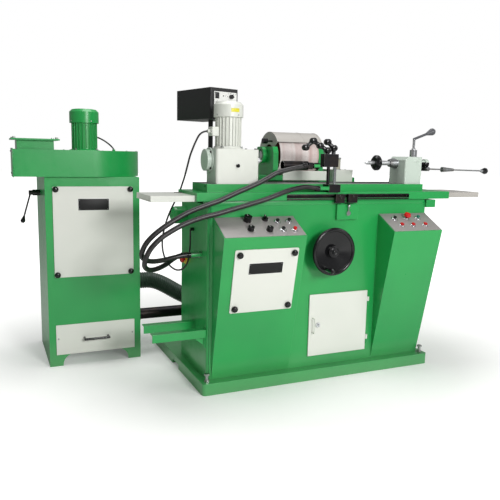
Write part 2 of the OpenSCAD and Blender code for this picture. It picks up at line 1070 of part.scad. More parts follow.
module bracket_arms() {
  color(green)
    for (y = arm_y) {
      block([-body_x - arm_reach, y - arm_w / 2, arm_z - arm_t],
        [-body_x, y + arm_w / 2, arm_z]);
      block([-body_x - arm_reach, y - arm_w / 2, arm_z - arm_w],
        [-body_x, y - arm_w / 2 + arm_t, arm_z]);
      block([-body_x - arm_t, y - arm_foot_w / 2, arm_z - arm_foot_h],
        [-body_x, y + arm_foot_w / 2, arm_z]);
      translate([-body_x, y + arm_t / 2, arm_z - arm_t]) rotate([90, 0, 0])
        linear_extrude(arm_t)
          polygon([[0, 0], [-gusset_l, 0], [-arm_t, -gusset_h], [0, -gusset_h]]);
      along_x(-body_x - 2 * arm_t, y, arm_z - arm_foot_h + arm_bolt_in / 2)
        cylinder(r = arm_bolt_r, h = arm_t + arm_t / 2, $fn = 6);
    }
}

module table_drive() {
  color(green)
    along_x(-body_x - drive_len, drive_y, drive_z)
      rotate_extrude()
        polygon([[0, 0], [drive_d / 2 - drive_round, 0], [drive_d / 2 - drive_rib, drive_round / 2],
          [drive_d / 2, drive_round], [drive_d / 2, drive_len + end_step],
          [0, drive_len + end_step]]);
}

module control_post() {
  color(black)
    translate([cp_x, cp_y, body_top]) {
      cylinder(r = cp_foot_r, h = cp_foot_t);
      cylinder(r = cp_r, h = box_z0 + box_socket_l - body_top);
    }
}

// Dust collector cabinet: sheet walls, drawer floor, tube sheet, feet and spigots
module collector_cabinet() {
  color(green) difference() {
    union() {
      block([cab_x0, cab_y0, 0], [cab_x1, cab_y1, cab_h]);
      along_x(cab_x0 - shake_boss_l, shake_y, shake_z)
        cylinder(r = shake_boss_r, h = shake_boss_l + cab_wall / 2);
      along_x(cab_x1 - cab_wall / 2, duct_start[1], duct_start[2]) {
        cylinder(d = duct_spigot_d, h = duct_spigot + cab_wall / 2);
        cylinder(d = duct_d + 2 * duct_collar_up, h = duct_collar_t + cab_wall / 2);
      }
      along_x(cab_x1 - cab_wall / 2, pipe_y, pipe_z)
        cylinder(r = pipe_flange_r, h = pipe_flange_t + cab_wall / 2);
    }
    block([cab_x0 + cab_wall, cab_y0 + cab_wall, drawer_z - runner_h],
      [cab_x1 - cab_wall, cab_y1 - cab_wall, tube_sheet_z]);
    block([cab_x0 + cab_wall, cab_y0 + cab_wall, tube_sheet_z + tube_sheet_t],
      [cab_x1 - cab_wall, cab_y1 - cab_wall, cab_h - cab_wall]);
    block([cab_x0 + cab_wall, cab_y0 + cab_wall, -overrun],
      [cab_x1 - cab_wall, cab_y1 - cab_wall, drawer_z - runner_h - cab_wall]);
    foot_arch();
    block([-drawer_w / 2 + fan_x - drawer_clear, cab_y0 - overrun, drawer_z - runner_h],
      [drawer_w / 2 + fan_x + drawer_clear, cab_y0 + cab_wall + overrun, drawer_z + drawer_h]);
    translate([fan_x, (cab_y0 + cab_y1) / 2, tube_sheet_z - overrun])
      cylinder(r = filter_r + seam, h = tube_sheet_t + 2 * overrun);
    translate([fan_x, fan_y, cab_h - cab_wall - overrun])
      cylinder(r = eye_r, h = cab_wall + 2 * overrun);
    along_x(cab_x0 - shake_boss_l - overrun, shake_y, shake_z)
      cylinder(r = shake_pin_r + running, h = shake_boss_l + cab_wall + 2 * overrun);
    along_x(cab_x1 - cab_wall - overrun, duct_start[1], duct_start[2])
      cylinder(d = duct_spigot_d - 2 * duct_wall, h = duct_spigot + cab_wall + 2 * overrun);
    along_x(cab_x1 - cab_wall - overrun, pipe_y, pipe_z)
      cylinder(r = pipe_r - duct_wall, h = pipe_flange_t + cab_wall + 2 * overrun);
  }
}

// The cut between the cabinet's feet, with rounded upper corners
module foot_arch() {
  block([cab_x0 + foot_w, cab_y0 - overrun, -overrun],
    [cab_x1 - foot_w, cab_y1 + overrun, foot_h - foot_r]);
  block([cab_x0 + foot_w + foot_r, cab_y0 - overrun, -overrun],
    [cab_x1 - foot_w - foot_r, cab_y1 + overrun, foot_h]);
  for (x = [cab_x0 + foot_w + foot_r, cab_x1 - foot_w - foot_r])
    along_y(x, cab_y0 - overrun, foot_h - foot_r)
      cylinder(r = foot_r, h = cab_depth + 2 * overrun);
}

// Pleated filter hanging in the tube sheet
module filter_cartridge() {
  color(grey_cloth)
    translate([fan_x, (cab_y0 + cab_y1) / 2, tube_sheet_z - filter_len]) {
      difference() {
        linear_extrude(filter_len + tube_sheet_t)
          polygon([for (i = [0:2 * pleats - 1])
            (filter_r - (i % 2) * pleat_deep)
              * [cos(i * 180 / pleats), sin(i * 180 / pleats)]]);
        translate([0, 0, cab_wall])
          cylinder(r = filter_r - 2 * pleat_deep, h = filter_len + tube_sheet_t);
      }
      translate([0, 0, filter_len + tube_sheet_t])
        difference() {
          cylinder(r = filter_r + filter_lip, h = cab_wall);
          translate([0, 0, -overrun])
            cylinder(r = filter_r - 2 * pleat_deep, h = cab_wall + 2 * overrun);
        }
    }
}

// Scroll of the blower, shrunk by t
module scroll_form(t) {
  translate([fan_x, fan_y, scroll_z + t])
    cylinder(r = scroll_r - t, h = scroll_h - 2 * t);
  block([spout_x0 - spout_end + t, fan_y - scroll_r + t, scroll_z + t],
    [fan_x, fan_y - scroll_r + spout_w + spout_end - t, scroll_z + scroll_h - t]);
}

module blower_housing() {
  top = scroll_z + scroll_h;
  color(green) difference() {
    union() {
      scroll_form(0);
      block([spout_x0, spout_y0, top - scroll_wall],
        [spout_x0 + spout_w, spout_y0 + spout_w, top + spout_up]);
      block([spout_x0 + (spout_w - flange_w) / 2, spout_y0 + (spout_w - flange_w) / 2,
        top + spout_up],
        [spout_x0 + (spout_w + flange_w) / 2, spout_y0 + (spout_w + flange_w) / 2,
        top + spout_up + flange_h]);
      translate([fan_x + cable_land_x, fan_y + cable_land_y, top - scroll_wall])
        cylinder(r = gland_r, h = scroll_wall + gland_len / 2);
    }
    scroll_form(scroll_wall);
    block([spout_x0 + scroll_wall, spout_y0 + scroll_wall, top - scroll_wall - overrun],
      [spout_x0 + spout_w - scroll_wall, spout_y0 + spout_w - scroll_wall,
      top + spout_up + flange_h + overrun]);
    for (sx = [-1, 1], sy = [-1, 1])
      translate([spout_x0 + spout_w / 2 + sx * (flange_w / 2 - flange_bolt_in),
        spout_y0 + spout_w / 2 + sy * (flange_w / 2 - flange_bolt_in),
        top + spout_up - overrun])
        cylinder(r = flange_bolt_r, h = flange_h + 2 * overrun);
    translate([fan_x, fan_y, scroll_z - overrun])
      cylinder(r = eye_r, h = scroll_wall + 2 * overrun);
    translate([fan_x, fan_y, top - scroll_wall - overrun])
      cylinder(r = fan_shaft_r + running, h = scroll_wall + 2 * overrun);
  }
}

// A flanged motor standing on its flange, terminal box at the given turn
module motor(r, cover_r, foot_r, foot_t, frame_l, cover_l, box_turn, gland_side) {
  mid_z = foot_t + frame_l / 2;
  cylinder(r1 = foot_r, r2 = r, h = foot_t);
  cylinder(r = r - motor_fin, h = foot_t + frame_l);
  for (i = [0:fin_count - 1])
    rotate([0, 0, i * 360 / fin_count])
      block([r - motor_fin - overrun, -fin_t / 2, foot_t - overrun],
        [r - seam, fin_t / 2, foot_t + frame_l + overrun]);
  translate([0, 0, foot_t + frame_l]) {
    cylinder(r = cover_r, h = cover_l - motor_dome);
    translate([0, 0, cover_l - motor_dome])
      cylinder(r1 = cover_r, r2 = cover_r - motor_dome, h = motor_dome);
  }
  rotate([0, 0, box_turn]) {
    block([r - motor_fin - overrun, -tbox_w / 2, mid_z - tbox_h / 2],
      [r + tbox_out, tbox_w / 2, mid_z + tbox_h / 2]);
    translate([r + tbox_out * (1 - gland_side / 2), -gland_side * tbox_w / 2, mid_z])
      rotate([gland_side * 90, (1 - gland_side) * 90, 0])
        translate([0, 0, -overrun])
          cylinder(r = gland_r, h = gland_len + overrun);
  }
}

module blower_motor() {
  color(green) difference() {
    translate([fan_x, fan_y, scroll_z + scroll_h])
      motor(bm_r, bm_cover_r, bm_flange_r, wm_flange_t / 2, bm_frame_l, bm_cover_l, 90, 1);
    translate([fan_x, fan_y, scroll_z + scroll_h - overrun])
      cylinder(r = fan_shaft_r + running, h = fan_shaft_in + overrun);
  }
}

// Fan wheel and its shaft up into the motor
module impeller() {
  disc_z = scroll_z + scroll_h - scroll_wall - fan_gap - fan_disc_t;
  color(steel)
    translate([fan_x, fan_y, disc_z]) {
      cylinder(r = fan_r, h = fan_disc_t);
      translate([0, 0, -fan_hub_r])
        cylinder(r = fan_hub_r, h = fan_hub_r + fan_disc_t);
      cylinder(r = fan_shaft_r,
        h = fan_disc_t + fan_gap + scroll_wall + fan_shaft_in - end_play);
      for (i = [0:blade_n - 1])
        rotate([0, 0, i * 360 / blade_n])
          block([blade_r0, -blade_t / 2, -blade_h], [fan_r, blade_t / 2, overrun]);
    }
}

module shaker_lever() {
  x0 = cab_x0 - shake_boss_l - air - shake_hub_l;
  rod = [-shake_out, -shake_fore, -shake_drop];
  reach = norm(rod);
  color(black) {
    along_x(x0, shake_y, shake_z)
      cylinder(r = shake_hub_r, h = shake_hub_l);
    along_x(x0, shake_y, shake_z)
      cylinder(r = shake_pin_r,
        h = shake_hub_l + air + shake_boss_l + cab_wall + shake_in);
    translate([x0 + shake_hub_l / 2, shake_y, shake_z])
      rotate([0, acos(rod[2] / reach), atan2(rod[1], rod[0])]) {
        cylinder(r = shake_rod_r, h = reach);
        translate([0, 0, reach - shake_ball_r])
          paddle(shake_rod_r + seam, shake_ball_r);
      }
  }
}

// Dust drawer with its front and handle
module drawer() {
  x0 = fan_x - drawer_w / 2;
  x1 = fan_x + drawer_w / 2;
  z1 = drawer_z + drawer_h;
  hz = drawer_z + handle_z;
  color(white) {
    difference() {
      block([x0, cab_y0, drawer_z - runner_h + running],
        [x1, cab_y0 + drawer_deep, z1 - 2 * drawer_clear]);
      block([x0 + drawer_wall, cab_y0 + drawer_wall, drawer_z - runner_h + drawer_wall],
        [x1 - drawer_wall, cab_y0 + drawer_deep - drawer_wall, z1 + overrun]);
    }
    block([x0 - drawer_clear - drawer_front_lap, cab_y0 - drawer_front_t,
        drawer_z - runner_h - drawer_front_lap],
      [x1 + drawer_clear + drawer_front_lap, cab_y0 - running, z1 + drawer_front_lap]);
    block([x0, cab_y0 - drawer_front_t, drawer_z - runner_h + running],
      [x1, cab_y0 + drawer_wall, z1 - 2 * drawer_clear]);
  }
  color(black)
    for (s = [-1, 1]) {
      along_y(fan_x + s * (handle_w / 2 - handle_d / 2), cab_y0 - drawer_front_t - handle_out, hz)
        cylinder(d = handle_d, h = handle_out);
      translate([fan_x + s * (handle_w / 2 - handle_d / 2), cab_y0 - drawer_front_t - handle_out, hz])
        sphere(d = handle_d);
      along_x(fan_x - handle_w / 2 + handle_d / 2, cab_y0 - drawer_front_t - handle_out, hz)
        cylinder(d = handle_d, h = handle_w - handle_d);
    }
}

// Points of a curve with four control points
function curve(a, b, c, d, t) = a * (1 - t) * (1 - t) * (1 - t)
  + b * 3 * t * (1 - t) * (1 - t) + c * 3 * t * t * (1 - t) + d * t * t * t;

// A route moved so that its ends meet the fittings
function fitted(r, a, b) = let(n = len(r) - 1)
  [for (i = [0:n]) r[i] + (a - r[0]) * (1 - i / n) + (b - r[n]) * (i / n)];

function unit(v) = v / norm(v);

// Direction of a route at point i, square to the fittings at its ends
function heading(r, i, first, last) = i == 0 ? first
  : i == len(r) - 1 ? last
  : unit(unit(r[i + 1] - r[i]) + unit(r[i] - r[i - 1]));

// Rings of points round a route, each with its own radius
function rings(r, radii, sides, first, last) =
  [for (i = [0:len(r) - 1])
    let(t = heading(r, i, first, last), u = unit(cross(t, [0, 1, 0])), v = cross(t, u))
      for (k = [0:sides - 1])
        r[i] + radii[i] * (cos(k * 360 / sides) * u + sin(k * 360 / sides) * v)];

// Side faces between n rings, from point number at
function skin(n, sides, at, inward) =
  [for (i = [0:n - 2], k = [0:sides - 1])
    let(a = at + i * sides + k, b = at + i * sides + (k + 1) % sides)
      inward ? [a, b, b + sides, a + sides] : [a, a + sides, b + sides, b]];

// A solid round tube along a route
module cord(r, radius, sides, first, last) {
  n = len(r);
  polyhedron(
    points = rings(r, [for (i = [0:n - 1]) radius], sides, first, last),
    faces = concat(skin(n, sides, 0, false),
      [[for (k = [0:sides - 1]) k]],
      [[for (k = [0:sides - 1]) n * sides - 1 - k]]),
    convexity = 8);
}

// Ribbed duct with its bore: straight for one diameter at each end
module duct_hose() {
  lead = [duct_d, 0, 0];
  pull = [duct_bend, 0, 0];
  a = [cab_x1 + duct_collar_t, duct_start[1], duct_start[2]];
  b = [rear_x0 - duct_collar_t, duct_end[1], duct_end[2]];
  route = concat(
    [for (i = [0:duct_lead_ribs]) a + lead * (i / duct_lead_ribs)],
    [for (i = [1:duct_ribs]) curve(a + lead, a + lead + pull, b - lead - pull, b - lead,
      i / duct_ribs)],
    [for (i = [1:duct_lead_ribs]) b - lead + lead * (i / duct_lead_ribs)]);
  n = len(route);
  outer = [for (i = [0:n - 1]) duct_d / 2 - (i % 2 == 0 ? 0 : duct_rib)];
  inner = [for (i = [0:n - 1]) duct_d / 2 - duct_wall - (i % 2 == 0 ? 0 : duct_rib)];
  color(green)
    polyhedron(
      points = concat(rings(route, outer, duct_sides, [1, 0, 0], [1, 0, 0]),
        rings(route, inner, duct_sides, [1, 0, 0], [1, 0, 0])),
      faces = concat(skin(n, duct_sides, 0, false), skin(n, duct_sides, n * duct_sides, true),
        duct_end_faces(0, n * duct_sides, true),
        duct_end_faces((n - 1) * duct_sides, (2 * n - 1) * duct_sides, false)),
      convexity = 8);
}

function duct_end_faces(o, i, near) =
  [for (k = [0:duct_sides - 1])
    let(j = (k + 1) % duct_sides)
      near ? [o + k, o + j, i + j, i + k] : [o + k, i + k, i + j, o + j]];

module lower_pipe() {
  x0 = cab_x1 + pipe_flange_t;
  x1 = rear_x0 - pipe_flange_t;
  color(steel) difference() {
    union() {
      along_x(x0, pipe_y, pipe_z)
        cylinder(r = pipe_r, h = x1 - x0);
      along_x(x0, pipe_y, pipe_z)
        cylinder(r = pipe_flange_r, h = pipe_flange_t);
      along_x(x1 - pipe_flange_t, pipe_y, pipe_z)
        cylinder(r = pipe_flange_r, h = pipe_flange_t);
    }
    along_x(x0 - overrun, pipe_y, pipe_z)
      cylinder(r = pipe_r - duct_wall, h = x1 - x0 + 2 * overrun);
  }
}

module upper_hose() {
  color(black)
    cord(fitted(upper_hose_route,
      [nozzle_x1 - elbow_w, nozzle_y - nozzle_r - elbow_out / 2, nozzle_z],
      [-body_x - fit_len, fit_y[0], fit_z[0]]),
      hose_d / 2, 10, [-1, 0, 0], [1, 0, 0]);
}

module lower_hose() {
  color(black)
    cord(fitted(lower_hose_route,
      [post_x - post_w / 2 - post_fit_l, table_y0 - post_front / 2, table_z1 + post_h / 2],
      [-body_x - fit_len, fit_y[1], fit_z[1]]),
      hose_d / 2, 10, [-1, 0, 0], [1, 0, 0]);
}

module motor_cable() {
  color(black)
    cord(fitted(motor_cable_route,
      [wm_x - wm_r - tbox_out - gland_len, work_y, wh_z1 + wm_flange_t + wm_frame_l / 2],
      [-body_x - gland_len, gland_y, gland_z]),
      cable_d / 2, 8, [-1, 0, 0], [1, 0, 0]);
}

module blower_cable() {
  color(black)
    cord(fitted(blower_cable_route,
      [fan_x + tbox_w / 2 + gland_len, fan_y + bm_r + tbox_out / 2,
      scroll_z + scroll_h + wm_flange_t / 2 + bm_frame_l / 2],
      [fan_x + cable_land_x, fan_y + cable_land_y,
      scroll_z + scroll_h + gland_len / 2]),
      cable_d / 2, 8, [1, 0, 0], [0, 0, -1]);
}

// Lower table with its dog slot and the grooves that ride on the ways
module lower_table() {
  color(green) difference() {
    block([table_x0, table_y0, table_z0], [table_x1, table_y1, table_z1]);
    block([slot_x0, table_y0 - overrun, slot_z - slot_mouth / 2],
      [slot_x1, table_y0 + slot_deep, slot_z + slot_mouth / 2]);
    block([slot_x0, table_y0 + slot_lip, slot_z - slot_in / 2],
      [slot_x1, table_y0 + slot_deep, slot_z + slot_in / 2]);
    translate([table_x0 - overrun, vee_y, table_z0]) rotate([90, 0, 90])
      linear_extrude(table_len + 2 * overrun)
        polygon([[-vee_up - vee_play - overrun, -overrun], [0, vee_up + vee_play],
          [vee_up + vee_play + overrun, -overrun]]);
  }
}

// Upper table with a tee slot for the heads
module upper_table() {
  color(green) difference() {
    block([upper_x0, upper_y0, table_z1], [upper_x1, upper_y1, upper_z1]);
    block([upper_x0 - overrun, top_slot_y - top_slot_mouth / 2, upper_z1 - top_slot_deep],
      [upper_x1 + overrun, top_slot_y + top_slot_mouth / 2, upper_z1 + overrun]);
    block([upper_x0 - overrun, top_slot_y - top_slot_in / 2, upper_z1 - top_slot_deep],
      [upper_x1 + overrun, top_slot_y + top_slot_in / 2, upper_z1 - top_slot_lip]);
  }
}

// Folded covers on the ends of the lower table
module table_guards() {
  lx = table_x0 - left_guard_len;
  rx = table_x1 + right_guard_len;
  color(white) {
    difference() {
      block([lx, guard_y0, guard_z1 - guard_drop], [table_x0, guard_y1, guard_z1]);
      block([lx + guard_sheet, guard_y0 + guard_sheet, guard_z1 - guard_drop - overrun],
        [table_x0 + overrun, guard_y1 - guard_sheet, guard_z1 - guard_sheet]);
    }
    difference() {
      translate([0, 0, guard_z1 - guard_drop + right_guard_rise])
        linear_extrude(guard_drop)
          polygon([[table_x1, guard_y0], [rx, guard_y0], [rx, guard_y1 - guard_cut],
            [rx - guard_cut, guard_y1], [table_x1, guard_y1]]);
      translate([0, 0, guard_z1 - guard_drop + right_guard_rise - overrun])
        linear_extrude(guard_drop - guard_sheet + overrun)
          polygon([[table_x1 - overrun, guard_y0 + guard_sheet],
            [rx - guard_sheet, guard_y0 + guard_sheet],
            [rx - guard_sheet, guard_y1 - guard_cut - guard_sheet / 2],
            [rx - guard_cut - guard_sheet / 2, guard_y1 - guard_sheet],
            [table_x1 - overrun, guard_y1 - guard_sheet]]);
    }
  }
}

// Trip dogs, back strip, rear bar and the wiper on the left guard
module table_fittings() {
  color(black) {
    for (x = [dog_x0, dog_x1]) {
      block([x, table_y0 - dog_t, slot_z + slot_mouth - dog_h],
        [x + dog_w, table_y0, slot_z + slot_mouth]);
      along_y(x + dog_w / 2, table_y0 - dog_t - dog_screw_l, slot_z)
        cylinder(r = dog_screw_r, h = dog_screw_l + overrun, $fn = 6);
    }
    block([wh_x1 + strip_gap, head_y0 + head_depth + strip_gap, upper_z1],
      [upper_x1 + rear_bar_over - rear_bar_l, head_y0 + head_depth + strip_gap + strip_w,
      upper_z1 + strip_t]);
    block([upper_x1 + rear_bar_over - rear_bar_l, head_y0 + head_depth + strip_gap, upper_z1],
      [upper_x1 + rear_bar_over, head_y0 + head_depth + strip_gap + rear_bar_w,
      upper_z1 + rear_bar_h]);
    block([table_x0 - wiper_l / 4, guard_y1 - guard_cut - wiper_w, guard_z1],
      [table_x0, guard_y1 - guard_cut, guard_z1 + wiper_h]);
  }
}

// Gearbox of the workhead with its bearing cap and oil sight plug
module workhead() {
  color(white) difference() {
    union() {
      rounded_block([wh_x0, head_y0, upper_z1], [wh_x1, head_y0 + head_depth, wh_z1], wh_r);
      along_x(wh_x0 - cap_l, work_y, work_z) {
        cylinder(r = cap_r, h = cap_l + overrun);
        translate([0, 0, cap_l - cap_lip])
          cylinder(r = cap_r + cap_lip, h = cap_lip + overrun);
      }
      along_y(wh_x0 + plug_x, head_y0 - plug_l, upper_z1 + plug_z)
        cylinder(r = plug_r, h = plug_l + overrun);
    }
    along_x(wh_x1 - bore_deep, work_y, work_z)
      cylinder(r = spindle_r + running, h = bore_deep + overrun);
  }
}

module workhead_motor() {
  color(white)
    translate([wm_x, work_y, wh_z1])
      motor(wm_r, wm_cover_r, wm_flange_r, wm_flange_t, wm_frame_l, wm_cover_l, 180, 0);
}

module tailstock() {
  disc_x = ts_x1 + tail_shaft_l;
  color(white) difference() {
    union() {
      rounded_block([ts_x0, head_y0, upper_z1], [ts_x1, head_y0 + head_depth, ts_z1], ts_r);
      translate([clamp_x, head_y0 + pad_r - pad_t, ts_z1 - pad_drop])
        cylinder(r = pad_r, h = pad_drop);
      translate([clamp_x, head_y0 + pad_r - pad_t, ts_z1 - pad_t])
        cylinder(r = clamp_post_r, h = clamp_post_h + pad_t);
      along_x(ts_x0 - nose_l, work_y, work_z)
        cylinder(r1 = nose_r1, r2 = nose_r0, h = nose_l + overrun);
      along_x(ts_x1 - overrun, work_y, work_z)
        cylinder(r = tail_shaft_r, h = tail_shaft_l + overrun);
      along_x(disc_x, work_y, work_z)
        cylinder(r = tail_disc_r, h = tail_disc_t);
      block([disc_x, work_y - lug_w / 2, work_z - lever_drop - lever_eye_r],
        [disc_x + tail_disc_t, work_y + lug_w / 2, work_z]);
    }
    translate([ts_x0, 0, ts_z1]) rotate([0, 45, 0])
      cube([ts_chamfer, table_len, ts_chamfer * sqrt(2)], center = true);
    along_x(ts_x0 - nose_l - overrun, work_y, work_z)
      cylinder(r = quill_r + running, h = nose_l + quill_in + quill_travel + end_play + overrun);
    translate([clamp_x, head_y0 + pad_r - pad_t, ts_z1 + clamp_post_h - clamp_pin_in])
      cylinder(r = clamp_pin_r + running, h = clamp_pin_in + overrun);
    along_y(disc_x + tail_disc_t / 2, work_y - lug_w, work_z - lever_drop)
      cylinder(r = lever_pin_r + running, h = 2 * lug_w);
  }
}

// Sliding quill with its black knob and centre point
module quill() {
  x1 = ts_x0 + quill_in;
  color(steel) {
    along_x(quill_knob_x, work_y, work_z)
      cylinder(r = quill_r, h = x1 - quill_knob_x);
    along_x(quill_tip_x, work_y, work_z)
      cylinder(r1 = 0, r2 = quill_tip_r, h = 2 * quill_tip_r);
    along_x(quill_tip_x + 2 * quill_tip_r, work_y, work_z)
      cylinder(r = quill_tip_r, h = quill_knob_x - quill_tip_x - 2 * quill_tip_r);
  }
  color(black)
    along_x(quill_knob_x - quill_knob_t / 2, work_y, work_z)
      rotate_extrude()
        polygon([[0, 0], [quill_knob_r - quill_round, 0],
          [quill_knob_r, quill_round], [quill_knob_r, quill_knob_t - quill_round],
          [quill_knob_r - quill_round, quill_knob_t], [0, quill_knob_t]]);
}

// Hand lever that draws the quill back
module retract_lever() {
  x0 = ts_x1 + tail_shaft_l + tail_disc_t / 2;
  z0 = work_z - lever_drop;
  y0 = work_y - lug_w / 2 - air - lever_eye_t;
  fall = atan(lever_fall / lever_len);
  color(steel) {
    along_y(x0, y0, z0) {
      cylinder(r = lever_eye_r, h = lever_eye_t);
      cylinder(r = lever_pin_r, h = lever_eye_t + air + lug_w);
    }
    translate([x0, y0 + lever_eye_t / 2, z0]) rotate([0, 90 + fall, 0]) {
      cylinder(r = lever_rod_r, h = lever_len - lever_ball_r);
      translate([0, 0, lever_sleeve_x])
        cylinder(r1 = lever_sleeve_r0, r2 = lever_sleeve_r1, h = lever_sleeve_l);
    }
  }
  color(black)
    translate([x0, y0 + lever_eye_t / 2, z0]) rotate([0, 90 + fall, 0]) {
      translate([0, 0, lever_len - 3 * lever_ball_r])
        paddle(lever_rod_r + seam, lever_ball_r);
    }
}

// A grip that swells from the rod to a blunt end, three radii long
module paddle(r1, r2) {
  rotate_extrude()
    polygon([[0, 0], [r1, 0], [r2, 2 * r2], [r2 * grip_share, 2.5 * r2],
      [r2 * tip_share, 3 * r2], [0, 3 * r2]]);
}

module clamp_lever() {
  z0 = ts_z1 + clamp_post_h;
  rise = atan(clamp_lift / clamp_reach);
  arm = norm([clamp_lift, clamp_reach]);
  color(panel_grey)
    translate([clamp_x, head_y0 + pad_r - pad_t, z0]) {
      translate([0, 0, -clamp_pin_in + end_play])
        cylinder(r = clamp_pin_r, h = clamp_pin_in - end_play + air);
      translate([0, 0, air])
        cylinder(r = clamp_neck_r + clamp_neck_end / 2, h = clamp_neck_end);
      cylinder(r = clamp_neck_r, h = clamp_rise);
      translate([0, 0, clamp_rise]) {
        sphere(r = clamp_neck_r + seam);
        rotate([0, 90 - rise, 0]) {
          cylinder(r = clamp_neck_r, h = arm);
          translate([0, 0, arm - overrun])
            paddle(clamp_neck_r + seam, clamp_fat_r);
        }
      }
    }
}

module work_spindle() {
  color(black) {
    along_x(wh_x1 - bore_deep + end_play, work_y, work_z)
      cylinder(r = spindle_r, h = bore_deep - end_play + spindle_out);
    along_x(wh_x1 + air, work_y, work_z)
      cylinder(r = spindle_nose_r, h = spindle_nose_l);
    along_x(wh_x1 + spindle_out, work_y, work_z)
      cylinder(r1 = spindle_r, r2 = 0, h = tip_l);
  }
}

// Post on the table that carries the suction nozzle and the clamping arms
module suction_post() {
  y = table_y0 + (upper_y0 - table_y0) / 2;
  cx = post_x - clamp_shift;
  front = table_y0 - post_front;
  color(black) {
    block([post_x - post_w / 2, front, table_z1], [post_x + post_w / 2, upper_y0, table_z1 + post_h]);
    for (s = [-1, 1])
      translate([post_x + s * rod_gap / 2, y, table_z1 + post_h / 2])
        cylinder(r = rod_r, h = rod_top - table_z1 - post_h / 2);
    block([cx - clampblk_w / 2, y - clampblk_t / 2, clampblk_z],
      [cx + clampblk_w / 2, y + clampblk_t / 2, clampblk_z + clampblk_h]);
    difference() {
      union() {
        along_x(nozzle_x0, nozzle_y, nozzle_z)
          cylinder(r = nozzle_r, h = nozzle_x1 - nozzle_x0);
        block([nozzle_x1 - elbow_w, nozzle_y - nozzle_r - elbow_out, nozzle_z - elbow_out / 2],
          [nozzle_x1, nozzle_y - nozzle_r + nozzle_wall, nozzle_z + elbow_out / 2]);
      }
      along_x(nozzle_x0 - overrun, nozzle_y, nozzle_z)
        cylinder(r = nozzle_r - nozzle_wall, h = nozzle_x1 - nozzle_x0 - elbow_w);
    }
  }
  color(green) {
    along_x(nozzle_x1 - overrun, nozzle_y, nozzle_z)
      cylinder(r = arm_rod_r, h = cx - clampblk_w / 2 - nozzle_x1 + 2 * overrun);
    along_x(nozzle_x1 + grip_l, nozzle_y, nozzle_z)
      cylinder(r = grip_r, h = grip_l);
    along_x(post_x - post_w / 2 - post_fit_l, table_y0 - post_front / 2, table_z1 + post_h / 2)
      cylinder(r = spigot_r, h = post_fit_l + overrun);
  }
  color(black) vee_arms(cx, y);
}

// Two jointed arms above the clamp block, each an upright vee with knobs
module vee_arms(cx, y) {
  for (a = arm_points)
    for (i = [0:len(a) - 2]) {
      p = [cx, y, clampblk_z + clampblk_h] + a[i];
      d = a[i + 1] - a[i];
      translate(p) {
        rotate([0, acos(d[2] / norm(d)), atan2(d[1], d[0])])
          cylinder(r = vee_arm_r, h = norm(d));
        sphere(r = vee_arm_r);
      }
      translate(p + d)
        rotate([90, 0, 0])
          cylinder(r = vee_knob_r, h = 2 * vee_knob_t, center = true);
    }
}

// Wheel slide: green saddle and shelf on the cross ways
module wheel_slide() {
  color(green) {
    block([slide_x0, slide_y0, slide_z0], [slide_x1, slide_y1, slide_top]);
    difference() {
      union() {
        block([shelf_x0, nose_y0, nose_z0], [nose_x0, slide_y0, shelf_z1]);
        block([shelf_x0, nose_y0, nose_z0], [nose_x0, slide_y0 + overrun, slide_top]);
      }
      along_x(wg_x0 - seam, wheel_y, wheel_z)
        cylinder(r = wg_r + nose_play, h = nose_x0 - wg_x0 + seam + overrun);
    }
    for (y = [slide_motor_y - slide_motor_r / 2, slide_motor_y + slide_motor_r / 2])
      block([slide_motor_x0, y - slide_motor_foot, slide_top - overrun],
        [slide_motor_x0 + slide_motor_l, y + slide_motor_foot, slide_top]);
  }
}

// Bearing pedestals of the wheel spindle, the nose under the wheel and the drive box
module spindle_housing() {
  color(green) difference() {
    union() {
      pedestal(wg_x0 - side_t, side_y0, shelf_z1);
      pedestal(wg_x0 + wg_len, right_side_y0, nose_z0 + nose_play);
      along_x(wg_x0 - side_t - boss_l, wheel_y, wheel_z)
        cylinder(r = boss_r, h = boss_l + overrun);
    }
    along_x(wg_x0 - side_t - boss_l - overrun, wheel_y, wheel_z)
      cylinder(r = spindle_shaft_r + running, h = wg_len + 2 * side_t + boss_l + 2 * overrun);
  }
  color(white) {
    difference() {
      block([nose_x0, nose_y0, nose_z0], [nose_x1, slide_y0, nose_z1]);
      along_x(nose_x0 - overrun, wheel_y, wheel_z)
        cylinder(r = wg_r + nose_play, h = nose_x1 - nose_x0 + 2 * overrun);
    }
    block([drive_box_x0, drive_box_y0, drive_box_z0],
      [drive_box_x0 + drive_box_w, slide_y0, drive_box_top]);
    block([drive_box_x0, slide_y0 - overrun, slide_top],
      [drive_box_x0 + drive_box_w, drive_box_y1, drive_box_top]);
    translate([drive_box_x0 + drive_box_w / 4, drive_box_y0 + oiler_r + wall, drive_box_top - overrun])
      cylinder(r = oiler_r, h = oiler_h + overrun);
  }
}

module pedestal(x, y0, foot_z) {
  translate([x, 0, 0]) rotate([90, 0, 90])
    linear_extrude(side_t)
      polygon([[slide_y0, slide_top], [slide_y0, foot_z], [y0 + side_cut, foot_z],
        [y0, nose_z1], [y0, side_z1 - side_cut], [y0 + side_cut / 2, side_z1],
        [side_y1 - side_cut, side_z1], [side_y1, side_z1 - side_cut], [side_y1, slide_top]]);
}

